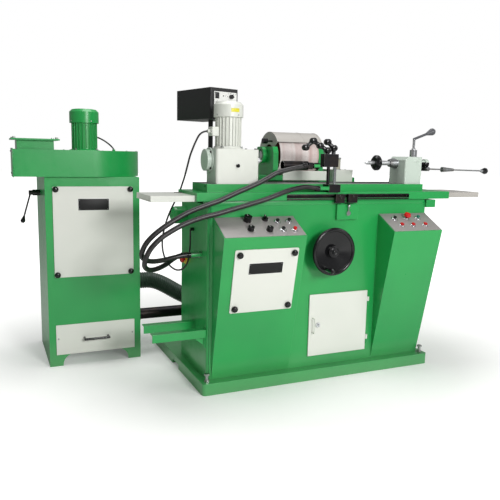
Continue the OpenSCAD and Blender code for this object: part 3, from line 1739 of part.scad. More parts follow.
// Hood over the wheel: a curved sheet with two end cheeks
module wheel_guard() {
  color(white)
    translate([wg_x0, wheel_y, wheel_z]) rotate([90, 0, 90]) {
      difference() {
        union() {
          rotate([0, 0, wg_from])
            rotate_extrude(angle = wg_to - wg_from)
              translate([wg_r - wg_wall, 0])
                square([wg_wall, wg_len]);
          for (z = [0, wg_len - wg_wall])
            translate([0, 0, z])
              rotate([0, 0, wg_from])
                rotate_extrude(angle = wg_to - wg_from)
                  translate([wg_hole_r, 0])
                    square([wg_r - wg_hole_r, wg_wall]);
        }
        translate([guard_knob_y - wheel_y, guard_knob_z - wheel_z, -overrun])
          cylinder(r = guard_stem_r + running, h = wg_wall + 2 * overrun);
        translate([0, wg_r, wg_len / 2])
          cube(wg_notch, center = true);
      }
    }
}

module guard_knob() {
  color(black)
    along_x(wg_x0 - guard_stem_l, guard_knob_y, guard_knob_z) {
      cylinder(r = guard_stem_r, h = guard_stem_l + wg_wall);
      translate([0, 0, -guard_knob_l])
        cylinder(r = guard_knob_r, h = guard_knob_l + overrun);
    }
}

// Motor behind the wheel with the belt guard over both pulleys
module wheel_motor() {
  my = slide_motor_y;
  mz = slide_top + slide_motor_foot + slide_motor_r;
  gx = wg_x0 + wg_len + side_t;
  color(dark_green) {
    difference() {
      belt_form(gx, belt_guard_w, belt_guard_r, my, mz);
      belt_form(gx + belt_wall, belt_guard_w - 2 * belt_wall, belt_guard_r - belt_wall, my, mz);
      along_x(gx - overrun, wheel_y, wheel_z)
        cylinder(r = spindle_shaft_r + running, h = belt_wall + 2 * overrun);
    }
    along_x(gx - slide_motor_l, my, mz)
      cylinder(r = slide_motor_r, h = slide_motor_l);
    for (y = [my - slide_motor_r / 2, my + slide_motor_r / 2])
      block([slide_motor_x0, y - slide_motor_foot, slide_top],
        [slide_motor_x0 + slide_motor_l, y + slide_motor_foot, mz]);
  }
}

// Outline of the belt guard round the two pulleys
module belt_form(x, w, r, my, mz) {
  run = [my - wheel_y, mz - wheel_z];
  along_x(x, wheel_y, wheel_z) cylinder(r = r, h = w);
  along_x(x, my, mz) cylinder(r = r, h = w);
  translate([x, wheel_y, wheel_z]) rotate([atan2(run[1], run[0]), 0, 0])
    translate([0, 0, seam - r])
      cube([w, norm(run), 2 * (r - seam)]);
}

// Wheel with its blotters, spindle and driven pulley
module grinding_wheel() {
  x0 = wheel_x - wheel_w / 2;
  end_x = wg_x0 + wg_len + side_t + belt_guard_w - belt_wall - end_play;
  color(stone)
    along_x(x0, wheel_y, wheel_z)
      cylinder(d = wheel_d, h = wheel_w);
  color(blotter_red)
    for (x = [x0 - flange_t, x0 + wheel_w])
      along_x(x, wheel_y, wheel_z)
        cylinder(r = flange_r, h = flange_t);
  color(steel) {
    along_x(wg_x0 - side_t - boss_l + end_play, wheel_y, wheel_z)
      cylinder(r = spindle_shaft_r, h = end_x - (wg_x0 - side_t - boss_l + end_play));
    along_x(end_x - pulley_w, wheel_y, wheel_z)
      cylinder(r = pulley_r, h = pulley_w);
  }
}

// Handwheel: hub, dished web, round rim and the boss for the crank
module handwheel() {
  color(black) difference() {
    translate([hand_x, body_y0 - hand_out, hand_z]) rotate([90, 0, 0]) {
      rotate_extrude()
        polygon([[0, -hand_hub_l / 2], [hand_hub_r, -hand_hub_l / 2], [hand_hub_r, -hand_web_t],
          [handwheel_d / 2 - 2 * hand_rim_r, hand_dish - hand_web_t],
          [handwheel_d / 2 - hand_rim_r, hand_dish - hand_web_t],
          [handwheel_d / 2 - hand_rim_r, hand_dish],
          [handwheel_d / 2 - 2 * hand_rim_r, hand_dish], [hand_hub_r, 0],
          [hand_hub_r, hand_hub_l / 2], [0, hand_hub_l / 2]]);
      rotate_extrude()
        translate([handwheel_d / 2 - hand_rim_r, hand_dish - hand_web_t / 2])
          circle(r = hand_rim_r);
      rotate([0, 0, crank_turn])
        translate([crank_r, 0, 0])
          cylinder(r = crank_boss_r, h = hand_dish + hand_rim_r);
    }
    crank_place() translate([0, 0, -hand_rim_r - hand_dish - overrun])
      cylinder(r = crank_pin_r + running, h = hand_rim_r + hand_dish + 2 * overrun);
  }
  color(steel)
    along_y(hand_x, body_y0 - hand_out, hand_z)
      cylinder(r = hand_shaft_r, h = hand_out + hand_shaft_in);
}

// Outer end of the crank's boss on the handwheel, Z pointing to the operator
module crank_place() {
  translate([hand_x, body_y0 - hand_out, hand_z]) rotate([90, 0, 0])
    rotate([0, 0, crank_turn])
      translate([crank_r, 0, hand_dish + hand_rim_r])
        rotate([0, 0, -crank_turn])
          children();
}

module crank_handle() {
  color(black) crank_place() {
    translate([0, 0, -hand_rim_r - hand_dish + end_play])
      cylinder(r = crank_pin_r, h = hand_rim_r + hand_dish + crank_neck);
    translate([0, 0, crank_clear])
      cylinder(d1 = crank_d0, d2 = crank_d1, h = crank_len - crank_neck);
    translate([0, 0, crank_clear + crank_len - crank_neck])
      cylinder(d1 = crank_d1, d2 = crank_d0, h = crank_neck);
  }
}

// Hinged door with its pull
module door() {
  y1 = body_y0 - door_gap;
  color(white) difference() {
    union() {
      block([door_x0, y1 - door_t, door_z0], [door_x1, y1, door_z1]);
      for (z = [door_z0 + hinge_end_in, door_z1 - hinge_end_in]) {
        translate([hinge_x, hinge_y, z])
          cylinder(r = hinge_r, h = hinge_barrel);
        block([door_x1 - overrun, hinge_y - hinge_leaf / 2, z + seam],
          [hinge_x - (hinge_r + hinge_pin_r) / 2, hinge_y + hinge_leaf / 2, z + hinge_barrel - seam]);
      }
      for (z = [lock_z - pull_rise / 2, lock_z + pull_rise / 2]) {
        along_y(pull_x, y1 - door_t - pull_out, z)
          cylinder(d = pull_d, h = pull_out + overrun);
        translate([pull_x, y1 - door_t - pull_out, z])
          sphere(d = pull_d + seam);
      }
      translate([pull_x, y1 - door_t - pull_out, lock_z - pull_rise / 2])
        cylinder(d = pull_d, h = pull_rise);
    }
    for (z = [door_z0 + hinge_end_in, door_z1 - hinge_end_in])
      translate([hinge_x, hinge_y, z - overrun])
        cylinder(r = hinge_pin_r + running, h = hinge_barrel + 2 * overrun);
    along_y(lock_x, y1 - door_t - overrun, lock_z)
      cylinder(r = lock_shaft_r + running, h = door_t + 2 * overrun);
  }
}

// Pins and fixed knuckles of the door's hinges, on the body
module door_hinges() {
  for (z = [door_z0 + hinge_end_in, door_z1 - hinge_end_in]) {
    translate([hinge_x, hinge_y, z - hinge_barrel - air])
      cylinder(r = hinge_r, h = hinge_barrel);
    translate([hinge_x, hinge_y, z - hinge_barrel])
      cylinder(r = hinge_pin_r, h = 2 * hinge_barrel);
    block([hinge_x - hinge_r, hinge_y, z - hinge_barrel - air],
      [hinge_x + hinge_r, body_y0 + overrun, z - air]);
  }
}

// Turning lock with its key
module door_lock() {
  y1 = body_y0 - door_gap - door_t;
  color(steel) {
    along_y(lock_x, y1 - air - lock_out, lock_z)
      cylinder(r = lock_r, h = lock_out);
    along_y(lock_x, y1 - air - lock_out, lock_z)
      cylinder(r = lock_shaft_r, h = lock_out + air + door_t);
    block([lock_x - lock_key / 2, y1 - air - lock_out - lock_r, lock_z - lock_r / 2],
      [lock_x + lock_key / 2, y1 - air - lock_out + overrun, lock_z + lock_r / 2]);
  }
}

// Place of the control box: origin on top of its post, turned to the operator
module at_box() {
  translate([cp_x, cp_y, box_z0]) rotate([0, 0, box_turn]) children();
}

module control_box() {
  color(black) at_box() difference() {
    union() {
      difference() {
        rounded_block([-box_w / 2, box_y0, 0], [box_w / 2, box_y1, box_h], box_r);
        block([-box_w / 2 + box_wall, box_y0 + box_wall, box_wall],
          [box_w / 2 - box_wall, box_y1 - box_wall, box_h - box_wall]);
      }
      cylinder(r = box_socket_r, h = box_socket_l + box_wall);
      for (x = [switch_x - switch_w / 2 - switch_play - switch_ear_t, switch_x + switch_w / 2 + switch_play])
        block([x, box_y0 + box_wall / 2, switch_z - switch_ear_l / 2],
          [x + switch_ear_t, box_y0 + box_wall + switch_ear_l, switch_z + switch_ear_l / 2]);
    }
    along_x(switch_x - switch_w, box_y0 + box_wall + switch_ear_l / 2, switch_z)
      cylinder(r = switch_pin_r + running, h = 2 * switch_w);
    translate([0, 0, -overrun])
      cylinder(r = cp_r + running, h = box_socket_l + overrun + running);
    block([switch_x - switch_w / 2 - switch_play, box_y0 - overrun,
      switch_z - switch_h / 2 - switch_play],
      [switch_x + switch_w / 2 + switch_play, box_y0 + box_wall + overrun,
      switch_z + switch_h / 2 + switch_play]);
    along_y(bk_x, box_y0 - overrun, bk_z)
      cylinder(r = bk_shaft_r + running, h = box_wall + 2 * overrun);
    for (i = [-2:2])
      block([-vent_w / 2, box_y1 - box_wall - overrun, vent_z + i * vent_pitch],
        [vent_w / 2, box_y1 + overrun, vent_z + i * vent_pitch + vent_h]);
  }
}

module box_switch() {
  pin_l = switch_w + 2 * switch_play + 2 * switch_ear_t;
  color(black) at_box() {
    block([switch_x - switch_w / 2, box_y0 - switch_out, switch_z - switch_h / 2],
      [switch_x + switch_w / 2, box_y0 + switch_in, switch_z + switch_h / 2]);
    along_x(switch_x - pin_l / 2, box_y0 + box_wall + switch_ear_l / 2, switch_z)
      cylinder(r = switch_pin_r, h = pin_l);
  }
}

module box_knob() {
  color(black) at_box() {
    along_y(bk_x, box_y0 - air - bk_out, bk_z)
      cylinder(r = bk_r, h = bk_out);
    along_y(bk_x, box_y0 - air - bk_out, bk_z)
      cylinder(r = bk_shaft_r, h = bk_out + air + bk_shaft_l);
  }
}

// Stop mushroom on the left cheek of the left console
module e_stop() {
  color(red)
    translate([estop_x - estop_collar_t, estop_y, estop_z]) rotate([0, 90, 0]) {
      translate([0, 0, -estop_up])
        cylinder(r = estop_stem_r, h = estop_stem_l + estop_up);
      translate([0, 0, -estop_up - mushroom_h])
        cylinder(r1 = estop_head_r - mushroom_round, r2 = estop_head_r, h = mushroom_h / 2);
      translate([0, 0, -estop_up - mushroom_h / 2])
        cylinder(r = estop_head_r, h = mushroom_h / 2 + overrun);
    }
}

// Shaft of a turning knob, from inside the console to the knob
module knob_shaft(h) {
  translate([0, 0, -wall - knob_shaft_l])
    cylinder(r = knob_shaft_r, h = wall + knob_shaft_l + sheet + air + h);
}

module speed_knob() {
  color(black) on_panel(left_knobs[0][0], left_knobs[0][1]) {
    knob_shaft(lobe_h / 2);
    translate([0, 0, sheet + air]) difference() {
      cylinder(r = lobe_r, h = lobe_h);
      for (i = [0:lobe_n - 1])
        rotate([0, 0, (i + 1 / 2) * 360 / lobe_n])
          translate([lobe_r + lobe_small / 2, 0, -overrun])
            cylinder(r = lobe_small, h = lobe_h + 2 * overrun);
    }
  }
}

module mode_knob() {
  color(black) on_panel(left_knobs[1][0], left_knobs[1][1]) {
    knob_shaft(pointer_h / 2);
    translate([0, 0, sheet + air]) {
      cylinder(r = pointer_r, h = pointer_h / 2);
      block([-pointer_w / 2, -pointer_r, 0], [pointer_w / 2, pointer_r, pointer_h]);
    }
  }
}

module plain_knob(p) {
  color(black) on_panel(p[0], p[1]) {
    knob_shaft(round_knob_h / 2);
    translate([0, 0, sheet + air])
      cylinder(r1 = round_knob_r, r2 = round_knob_r - seam, h = round_knob_h);
  }
}

module feed_knob() {
  plain_knob(left_knobs[2]);
}

module dwell_knob() {
  plain_knob(left_knobs[3]);
}

// A push button's plunger
module plunger(p) {
  on_panel(p[0], p[1]) translate([0, 0, -push_in])
    cylinder(r = push_r, h = push_in + sheet + bezel_h + push_out);
}

module start_button() {
  color(black) plunger(left_buttons[0]);
}

module jog_button() {
  color(black) plunger(left_buttons[1]);
}

module cycle_button() {
  color(black) plunger(left_buttons[2]);
}

module stop_button() {
  color(red) plunger(left_buttons[3]);
}

module wheel_start_button() {
  color(black) plunger(right_controls[0]);
}

module wheel_stop_button() {
  color(red) {
    plunger(right_controls[1]);
    on_panel(right_controls[1][0], right_controls[1][1])
      translate([0, 0, sheet + bezel_h + push_out])
        cylinder(r1 = mushroom_r, r2 = mushroom_r - mushroom_round, h = mushroom_h);
  }
}

module collector_button() {
  color(black) plunger(right_controls[2]);
}

// Lever that the trip dogs push to reverse the table
module reversing_lever() {
  y1 = body_y0 - valve_out - air;
  color(steel) {
    along_y(rev_x, y1 - rev_hub_l, rev_z) {
      cylinder(r = rev_hub_r, h = rev_hub_l);
      cylinder(r = rev_shaft_r, h = rev_hub_l + air + valve_out + rev_shaft_in);
    }
    translate([rev_x, y1 - rev_hub_l / 2 - rev_arm_d / 2, rev_z]) {
      cylinder(d = rev_arm_d, h = rev_arm_l);
      translate([0, 0, rev_arm_l])
        sphere(r = rev_knob_r);
    }
  }
}
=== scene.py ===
"""Cot grinding machine: finishes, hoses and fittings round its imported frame."""

import math

import bmesh
import bpy
from mathutils import Matrix, Vector


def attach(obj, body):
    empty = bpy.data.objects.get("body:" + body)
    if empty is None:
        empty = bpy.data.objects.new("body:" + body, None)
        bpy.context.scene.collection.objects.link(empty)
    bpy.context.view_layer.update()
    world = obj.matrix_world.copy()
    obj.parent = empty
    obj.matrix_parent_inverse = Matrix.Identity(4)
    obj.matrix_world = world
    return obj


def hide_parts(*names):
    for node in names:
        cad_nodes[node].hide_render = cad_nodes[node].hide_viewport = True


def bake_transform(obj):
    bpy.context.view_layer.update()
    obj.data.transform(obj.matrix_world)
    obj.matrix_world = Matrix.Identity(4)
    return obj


bl_info = {
    "name": "Cot grinding machine",
    "version": (1, 0, 0),
    "blender": (4, 5, 0),
    "location": "View3D > Sidebar > Grinder",
    "description": "Finishes, hoses, controls and fasteners of a cot grinding machine",
    "category": "Object",
}

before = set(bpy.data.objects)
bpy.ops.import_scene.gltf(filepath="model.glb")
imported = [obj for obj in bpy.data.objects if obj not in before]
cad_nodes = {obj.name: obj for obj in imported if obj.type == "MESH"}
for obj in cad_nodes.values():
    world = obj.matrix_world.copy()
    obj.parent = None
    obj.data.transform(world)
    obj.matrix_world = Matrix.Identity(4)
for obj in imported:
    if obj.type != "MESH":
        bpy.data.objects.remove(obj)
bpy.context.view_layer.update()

MM = 0.001
IMAGE_SIDE = 500


def mm(*values):
    """Millimetres to metres, as one number or as a vector."""
    return values[0] * MM if len(values) == 1 else Vector(values) * MM


# Camera, as solved from the photograph's edges
CAMERA_PLACE = Vector((-1.6104, -3.0843, 1.1728))
CAMERA_YAW = math.radians(23.982)
CAMERA_PITCH = math.radians(9.0995)
CAMERA_ROLL = math.radians(1.2523)
FOCAL_PIXELS = 596.22
SENSOR_WIDTH = 36.0

# Hoses and cables: the routes' own points, in millimetres
HOSE_RADIUS = mm(12)
CABLE_RADIUS = mm(4.5)
UPPER_HOSE = [
    (-140, -457, 1123), (-190, -457, 1114), (-245, -458, 1104), (-305, -458, 1088),
    (-350, -458, 1065), (-395, -459, 1042), (-450, -459, 1019), (-505, -459, 997),
    (-555, -460, 976), (-605, -460, 955), (-655, -460, 939), (-704, -461, 923),
    (-765, -461, 899), (-830, -462, 865), (-890, -461, 827), (-935, -457, 789),
    (-962, -448, 751), (-970, -428, 709), (-950, -398, 681), (-905, -364, 664),
    (-845, -337, 662), (-785, -324, 670), (-740, -322, 677), (-701, -322, 678),
]
LOWER_HOSE = [
    (-60, -448, 1010), (-99, -450, 1014), (-145, -458, 1018), (-196, -468, 1013),
    (-250, -476, 1002), (-309, -480, 983), (-370, -480, 962), (-431, -480, 945),
    (-491, -480, 929), (-553, -480, 913), (-619, -480, 896), (-680, -480, 883),
    (-741, -480, 866), (-799, -480, 844), (-849, -480, 818), (-895, -480, 789),
    (-939, -478, 745), (-960, -464, 697), (-957, -430, 655), (-924, -385, 628),
    (-876, -340, 622), (-822, -300, 632), (-773, -262, 650), (-736, -243, 662),
    (-701, -242, 664),
]
MOTOR_CABLE = [
    (-607, -285, 1281), (-628, -284, 1276), (-646, -281, 1262), (-660, -275, 1235),
    (-672, -262, 1199), (-680, -240, 1159), (-684, -210, 1108), (-686, -175, 1058),
    (-688, -140, 1017), (-697, -124, 977), (-715, -120, 936), (-737, -122, 896),
    (-761, -128, 846), (-780, -136, 795), (-794, -146, 740), (-796, -156, 684),
    (-784, -166, 634), (-762, -176, 600), (-732, -186, 580), (-704, -194, 584),
    (-683, -199, 607), (-671, -201, 644), (-665, -200, 691), (-663, -200, 738),
    (-663, -200, 790),
]
BLOWER_CABLE = [
    (-1035, 561, 1255.5), (-1008, 561, 1256.6), (-979, 558, 1248), (-951, 555, 1233),
    (-923, 551.5, 1212.5), (-904.5, 550, 1193.7), (-899, 550, 1185),
]
DUCT_START = mm(-823, 480, 392)
DUCT_END = mm(-306, 452, 262)
DUCT_RADIUS = mm(50)
DUCT_BEND = mm(110)
# Ways that things face
UP, LEFT, RIGHT, FRONT, BACK = (0, 0, 1), (-1, 0, 0), (1, 0, 0), (0, -1, 0), (0, 1, 0)

# Points of a mesh that lie nearer than this are joined
WELD = mm(0.02)

# Control consoles: sloping panels on the two wedges of the bed
PANEL_SLOPE = math.radians(27.6036)
PANEL_EDGE = mm(0, -572, 790)
SHEET = mm(3)
# Each button's x and its distance v up the slope, in millimetres, and its finish
PUSH_BUTTONS = {
    "start_button": (-304, 118, "black_abs"), "jog_button": (-239, 120, "black_abs"),
    "cycle_button": (-301, 49, "black_abs"), "stop_button": (-239, 46, "red_abs"),
    "wheel_start_button": (399, 115, "black_abs"), "collector_button": (554, 115, "green_abs"),
}
MUSHROOM = (483, 121)
LAMPS = [(409, 54), (481, 51), (561, 51)]
LAMP_RADIUS = 13
BUTTON_TOP = 19
# Each knob's x, v, radius and height over the bed's sheet, in millimetres
KNOBS = {
    "speed_knob": (-459, 134, 20, 31), "mode_knob": (-362, 139, 15, 25),
    "feed_knob": (-469, 58, 16, 23), "dwell_knob": (-373, 49, 16, 23),
}
# Faces of the panels node left of and below this are the emergency stop's collar, in mm
STOP_COLLAR_EDGE = (-600, 740)

# Control box: its place and turn on the post, and its fascia round the switch, in millimetres
BOX_FLOOR = mm(-500, -38, 1348)
BOX_TURN = math.radians(15)
BOX_FRONT = -120
FASCIA_CENTRE = (7, 99)
SWITCH_CENTRE = (-46, 118)
SWITCH_HALF = (12.2, 15.2)

# Jointed suction arms: points from the pivot on the post, in millimetres
SUCTION_PIVOT = mm(12, -417, 1184)
SUCTION_ARMS = (
    ((-14, 0, -6), (-14, 0, 18), (-52, 12, 40), (-88, 20, 64), (-128, 26, 30)),
    ((22, 0, -6), (22, 0, 30), (-10, 10, 60)),
)

# The console's sloping cover: its middle on the console, its outward and its upward way
COVER_SLOPE = math.atan(153 / 730)
COVER_OUT = Vector((0, -math.cos(COVER_SLOPE), -math.sin(COVER_SLOPE)))
COVER_UP = Vector((0, -math.sin(COVER_SLOPE), math.cos(COVER_SLOPE)))
COVER_CENTRE = mm(-395, -526.5, 572.8)

# Studio: the world's strength for the room and for the camera, and the floor's fade to white
ROOM_LIGHT = 0.3
BACKDROP_LIGHT = 1.0
FLOOR_GLOW = 0.12
FADE_START = 1.0
FADE_END = 3.2


def linear(hexcode):
    """Linear RGBA of an sRGB hex colour."""
    shares = [int(hexcode[i:i + 2], 16) / 255 for i in (1, 3, 5)]
    return tuple(
        s / 12.92 if s <= 0.04045 else ((s + 0.055) / 1.055) ** 2.4 for s in shares
    ) + (1.0,)


def colour_property(name, description, hexcode):
    """A colour that a user can change."""
    return bpy.props.FloatVectorProperty(
        name=name, description=description, subtype="COLOR", size=4,
        min=0.0, max=1.0, default=linear(hexcode),
    )


def size_property(name, description, default):
    """A length that a user can change, in metres."""
    return bpy.props.FloatProperty(
        name=name, description=description, unit="LENGTH", subtype="DISTANCE",
        min=0.0, default=default,
    )


class GRINDER_PG_finishes(bpy.types.PropertyGroup):
    """Colours of the paints, plastics and stone."""

    machine_green: colour_property("Machine green", "Enamel on the castings", "#1f9f4c")
    shade_green: colour_property("Deep green", "Enamel where it is thickest", "#178443")
    # The edge colour stands partly for worn enamel, partly for painted highlight along the edges.
    edge_wear_and_highlight_green: colour_property("Edge green", "Enamel worn thin on an edge", "#63c685")
    machine_white: colour_property("Machine white", "Enamel on covers and heads", "#dfe0d8")
    # The tailstock's grey-green also colours the workhead's left face, as painted shade there.
    head_grey: colour_property("Tailstock grey", "Enamel on the tailstock", "#c3cfc4")
    panel_grey: colour_property("Panel grey", "Anodised control panels", "#8f8b8a")
    hose_black: colour_property("Hose black", "Rubber of hoses and cables", "#151415")
    stone_white: colour_property("Wheel stone", "Grinding wheel", "#c3a7a2")


class GRINDER_PG_fittings(bpy.types.PropertyGroup):
    """Sizes of the small fittings that the scene adds."""

    hex_across: size_property("Hexagon", "Width across flats of the large bolts", mm(13))
    screw_head: size_property("Screw head", "Diameter of the cover screws' heads", mm(9))
    duct_pitch: size_property("Duct pitch", "Distance between the duct's ribs", mm(13))
    duct_rib: size_property("Duct rib", "Height of a rib above its valley", mm(3))
    plate_thickness: size_property("Plate", "Thickness of the blank plates", mm(1.2))


# Kinds of node. A mix of colours takes its share at input 0 and its colours at inputs 6 and 7,
# and gives the result at output 2.
NOISE, BUMP, MATH = "ShaderNodeTexNoise", "ShaderNodeBump", "ShaderNodeMath"
MIX, RANGE, STRETCH = "ShaderNodeMix", "ShaderNodeMapRange", "ShaderNodeMapping"


def feed(tree, node, inputs):
    """Sets or links inputs: a socket's name or number, to a value or another node's output."""
    for socket, value in inputs.items():
        if isinstance(value, bpy.types.NodeSocket):
            tree.links.new(value, node.inputs[socket])
        else:
            node.inputs[socket].default_value = value


def add_node(tree, kind, output, inputs=None, **settings):
    """Adds a node with its settings and inputs, and gives back the output that is used."""
    made = tree.nodes.new(kind)
    for name, value in settings.items():
        setattr(made, name, value)
    feed(tree, made, inputs or {})
    return made.outputs[output]


def begin_material(name):
    """A new material's tree, its Principled shader and the piece's own coordinates."""
    material = bpy.data.materials.new(name)
    material.use_nodes = True
    tree = material.node_tree
    return tree, tree.nodes["Principled BSDF"], add_node(tree, "ShaderNodeTexCoord", "Object")


def rounded_edges(tree, radius):
    """Normals that run round an edge of that radius, and how near the edge is, from 0 to 1."""
    rounded = add_node(tree, "ShaderNodeBevel", "Normal", {"Radius": radius}, samples=6)
    true = add_node(tree, "ShaderNodeNewGeometry", "Normal")
    facing = add_node(
        tree, "ShaderNodeVectorMath", "Value", {0: rounded, 1: true}, operation="DOT_PRODUCT"
    )
    near = add_node(
        tree, RANGE, "Result", {"Value": facing, "From Min": 0.995, "From Max": 0.80}
    )
    return rounded, near


def mix_enamel(name, body, deep, edge, roughness=0.3):
    """Alkyd machine enamel, brushed over filler and cured: a slow waviness of 60 mm under a
    hard gloss film, orange peel of 6 mm, a tone that drifts over half a metre, dust low down, paler
    edges partly worn and partly painted highlight."""
    tree, shader, place = begin_material(name)
    normal, near_edge = rounded_edges(tree, mm(2.5))
    drift = add_node(tree, NOISE, "Fac", {"Vector": place, "Scale": 1 / mm(450)})
    tone = add_node(
        tree, RANGE, "Result", {"Value": drift, "From Min": 0.3, "From Max": 0.7, "To Max": 0.55}
    )
    painted = add_node(tree, MIX, 2, {0: tone, 6: body, 7: deep}, data_type="RGBA")
    chips = add_node(tree, NOISE, "Fac", {"Vector": place, "Scale": 1 / mm(30), "Detail": 3.0})
    # Paler edges, broken up by the chip noise: partly worn enamel, partly painted highlight along
    # the edges.
    worn = add_node(tree, MATH, "Value", {0: near_edge, 1: chips}, operation="MULTIPLY")
    edged = add_node(tree, MIX, 2, {0: worn, 6: painted, 7: edge}, data_type="RGBA")
    height = add_node(tree, "ShaderNodeSeparateXYZ", "Z", {"Vector": place})
    low = add_node(
        tree, RANGE, "Result",
        {"Value": height, "From Min": mm(160), "From Max": 0.0, "To Max": 0.22},
    )
    dusty = add_node(tree, MIX, 2, {0: low, 6: edged, 7: linear("#9a9a8c")}, data_type="RGBA")
    smear = add_node(
        tree, RANGE, "Result",
        {"Value": chips, "To Min": roughness - 0.07, "To Max": roughness + 0.12},
    )
    wave = add_node(tree, NOISE, "Fac", {"Vector": place, "Scale": 1 / mm(60)})
    waved = add_node(
        tree, BUMP, "Normal",
        {"Height": wave, "Strength": 0.25, "Distance": mm(1.2), "Normal": normal},
    )
    peel = add_node(tree, NOISE, "Fac", {"Vector": place, "Scale": 1 / mm(6)})
    peeled = add_node(
        tree, BUMP, "Normal",
        {"Height": peel, "Strength": 0.12, "Distance": mm(0.4), "Normal": waved},
    )
    feed(tree, shader, {
        "Base Color": dusty, "Roughness": smear, "Normal": peeled, "IOR": 1.5,
        "Coat Weight": 0.25, "Coat Roughness": 0.12,
    })


def mix_moulded(name, colour, roughness):
    """Moulded ABS or phenolic: one colour through, gloss off the tool, a grain of about a
    millimetre, and paler edges, partly bloom from handling and partly painted highlight."""
    tree, shader, place = begin_material(name)
    normal, near_edge = rounded_edges(tree, mm(1.2))
    paler = [c + (0.30 - c) * 0.25 for c in colour[:3]] + [1.0]
    # Edges drawn a quarter of the way to mid grey: partly handling bloom, partly painted highlight.
    bloom = add_node(tree, MATH, "Value", {0: near_edge, 1: 0.5}, operation="MULTIPLY")
    tinted = add_node(tree, MIX, 2, {0: bloom, 6: colour, 7: paler}, data_type="RGBA")
    speckle = add_node(tree, NOISE, "Fac", {"Vector": place, "Scale": 1 / mm(0.9), "Detail": 1.0})
    handled = add_node(
        tree, RANGE, "Result",
        {"Value": speckle, "To Min": roughness - 0.08, "To Max": roughness + 0.08},
    )
    grained = add_node(
        tree, BUMP, "Normal",
        {"Height": speckle, "Strength": 0.1, "Distance": mm(0.1), "Normal": normal},
    )
    feed(tree, shader, {
        "Base Color": tinted, "Roughness": handled, "Normal": grained, "IOR": 1.54,
        "Specular IOR Level": 0.35,
    })


def mix_steel(name, bright, dark, roughness, lay_mm, along):
    """Machined steel: metal with fine tool marks laid along one axis, drawn a millimetre or
    two apart so that they show, and a thin brownish film of old oil in patches."""
    tree, shader, place = begin_material(name)
    normal, near_edge = rounded_edges(tree, mm(0.8))
    stretched = add_node(tree, STRETCH, "Vector", {"Vector": place, "Scale": along})
    marks = add_node(
        tree, NOISE, "Fac", {"Vector": stretched, "Scale": 1 / mm(lay_mm), "Detail": 2.0}
    )
    patches = add_node(tree, NOISE, "Fac", {"Vector": place, "Scale": 1 / mm(45)})
    film = add_node(
        tree, RANGE, "Result", {"Value": patches, "From Min": 0.45, "From Max": 0.75}
    )
    metal = add_node(tree, MIX, 2, {0: film, 6: bright, 7: dark}, data_type="RGBA")
    lit = add_node(
        tree, MIX, 2, {0: near_edge, 6: metal, 7: linear("#d9dadb")}, data_type="RGBA"
    )
    ground = add_node(
        tree, RANGE, "Result",
        {"Value": marks, "To Min": roughness - 0.08, "To Max": roughness + 0.12},
    )
    scored = add_node(
        tree, BUMP, "Normal",
        {"Height": marks, "Strength": 0.15, "Distance": mm(0.2), "Normal": normal},
    )
    feed(tree, shader, {
        "Base Color": lit, "Metallic": 1.0, "Roughness": ground, "Normal": scored,
    })


def mix_hose_rubber(colour):
    """Extruded EPDM over a braid: satin black, the braid's turns telegraphing through every
    9 mm of its length, and a grey bloom where it is handled."""
    tree, shader, place = begin_material("hose_rubber")
    along = add_node(tree, "ShaderNodeAttribute", "Fac", attribute_name="along")
    phase = add_node(tree, MATH, "Value", {0: along, 1: math.tau / mm(9)}, operation="MULTIPLY")
    ridge = add_node(tree, MATH, "Value", {0: phase}, operation="SINE")
    bloom = add_node(tree, NOISE, "Fac", {"Vector": place, "Scale": 1 / mm(70), "Detail": 3.0})
    chalky = add_node(
        tree, RANGE, "Result", {"Value": bloom, "From Min": 0.45, "From Max": 0.8, "To Max": 0.3}
    )
    toned = add_node(
        tree, MIX, 2, {0: chalky, 6: colour, 7: linear("#4a4443")}, data_type="RGBA"
    )
    braided = add_node(
        tree, BUMP, "Normal", {"Height": ridge, "Strength": 0.2, "Distance": mm(0.35)}
    )
    feed(tree, shader, {
        "Base Color": toned, "Roughness": 0.36, "Normal": braided, "IOR": 1.52,
    })


def mix_duct_pvc():
    """Extruded soft PVC on a wire helix: dark green, half matt, darkened in patches down the
    valleys as painted shade.
    """
    tree, shader, place = begin_material("duct_pvc")
    valley = add_node(tree, "ShaderNodeAttribute", "Fac", attribute_name="valley")
    dust = add_node(tree, NOISE, "Fac", {"Vector": place, "Scale": 1 / mm(25)})
    # Painted shade: the rib valleys darkened in noise patches.
    valley_shade = add_node(tree, MATH, "Value", {0: valley, 1: dust}, operation="MULTIPLY")
    toned = add_node(
        tree, MIX, 2, {0: valley_shade, 6: linear("#46584d"), 7: linear("#20302a")}, data_type="RGBA"
    )
    creases = add_node(
        tree, BUMP, "Normal", {"Height": dust, "Strength": 0.2, "Distance": mm(0.8)}
    )
    feed(tree, shader, {"Base Color": toned, "Roughness": 0.42, "Normal": creases})


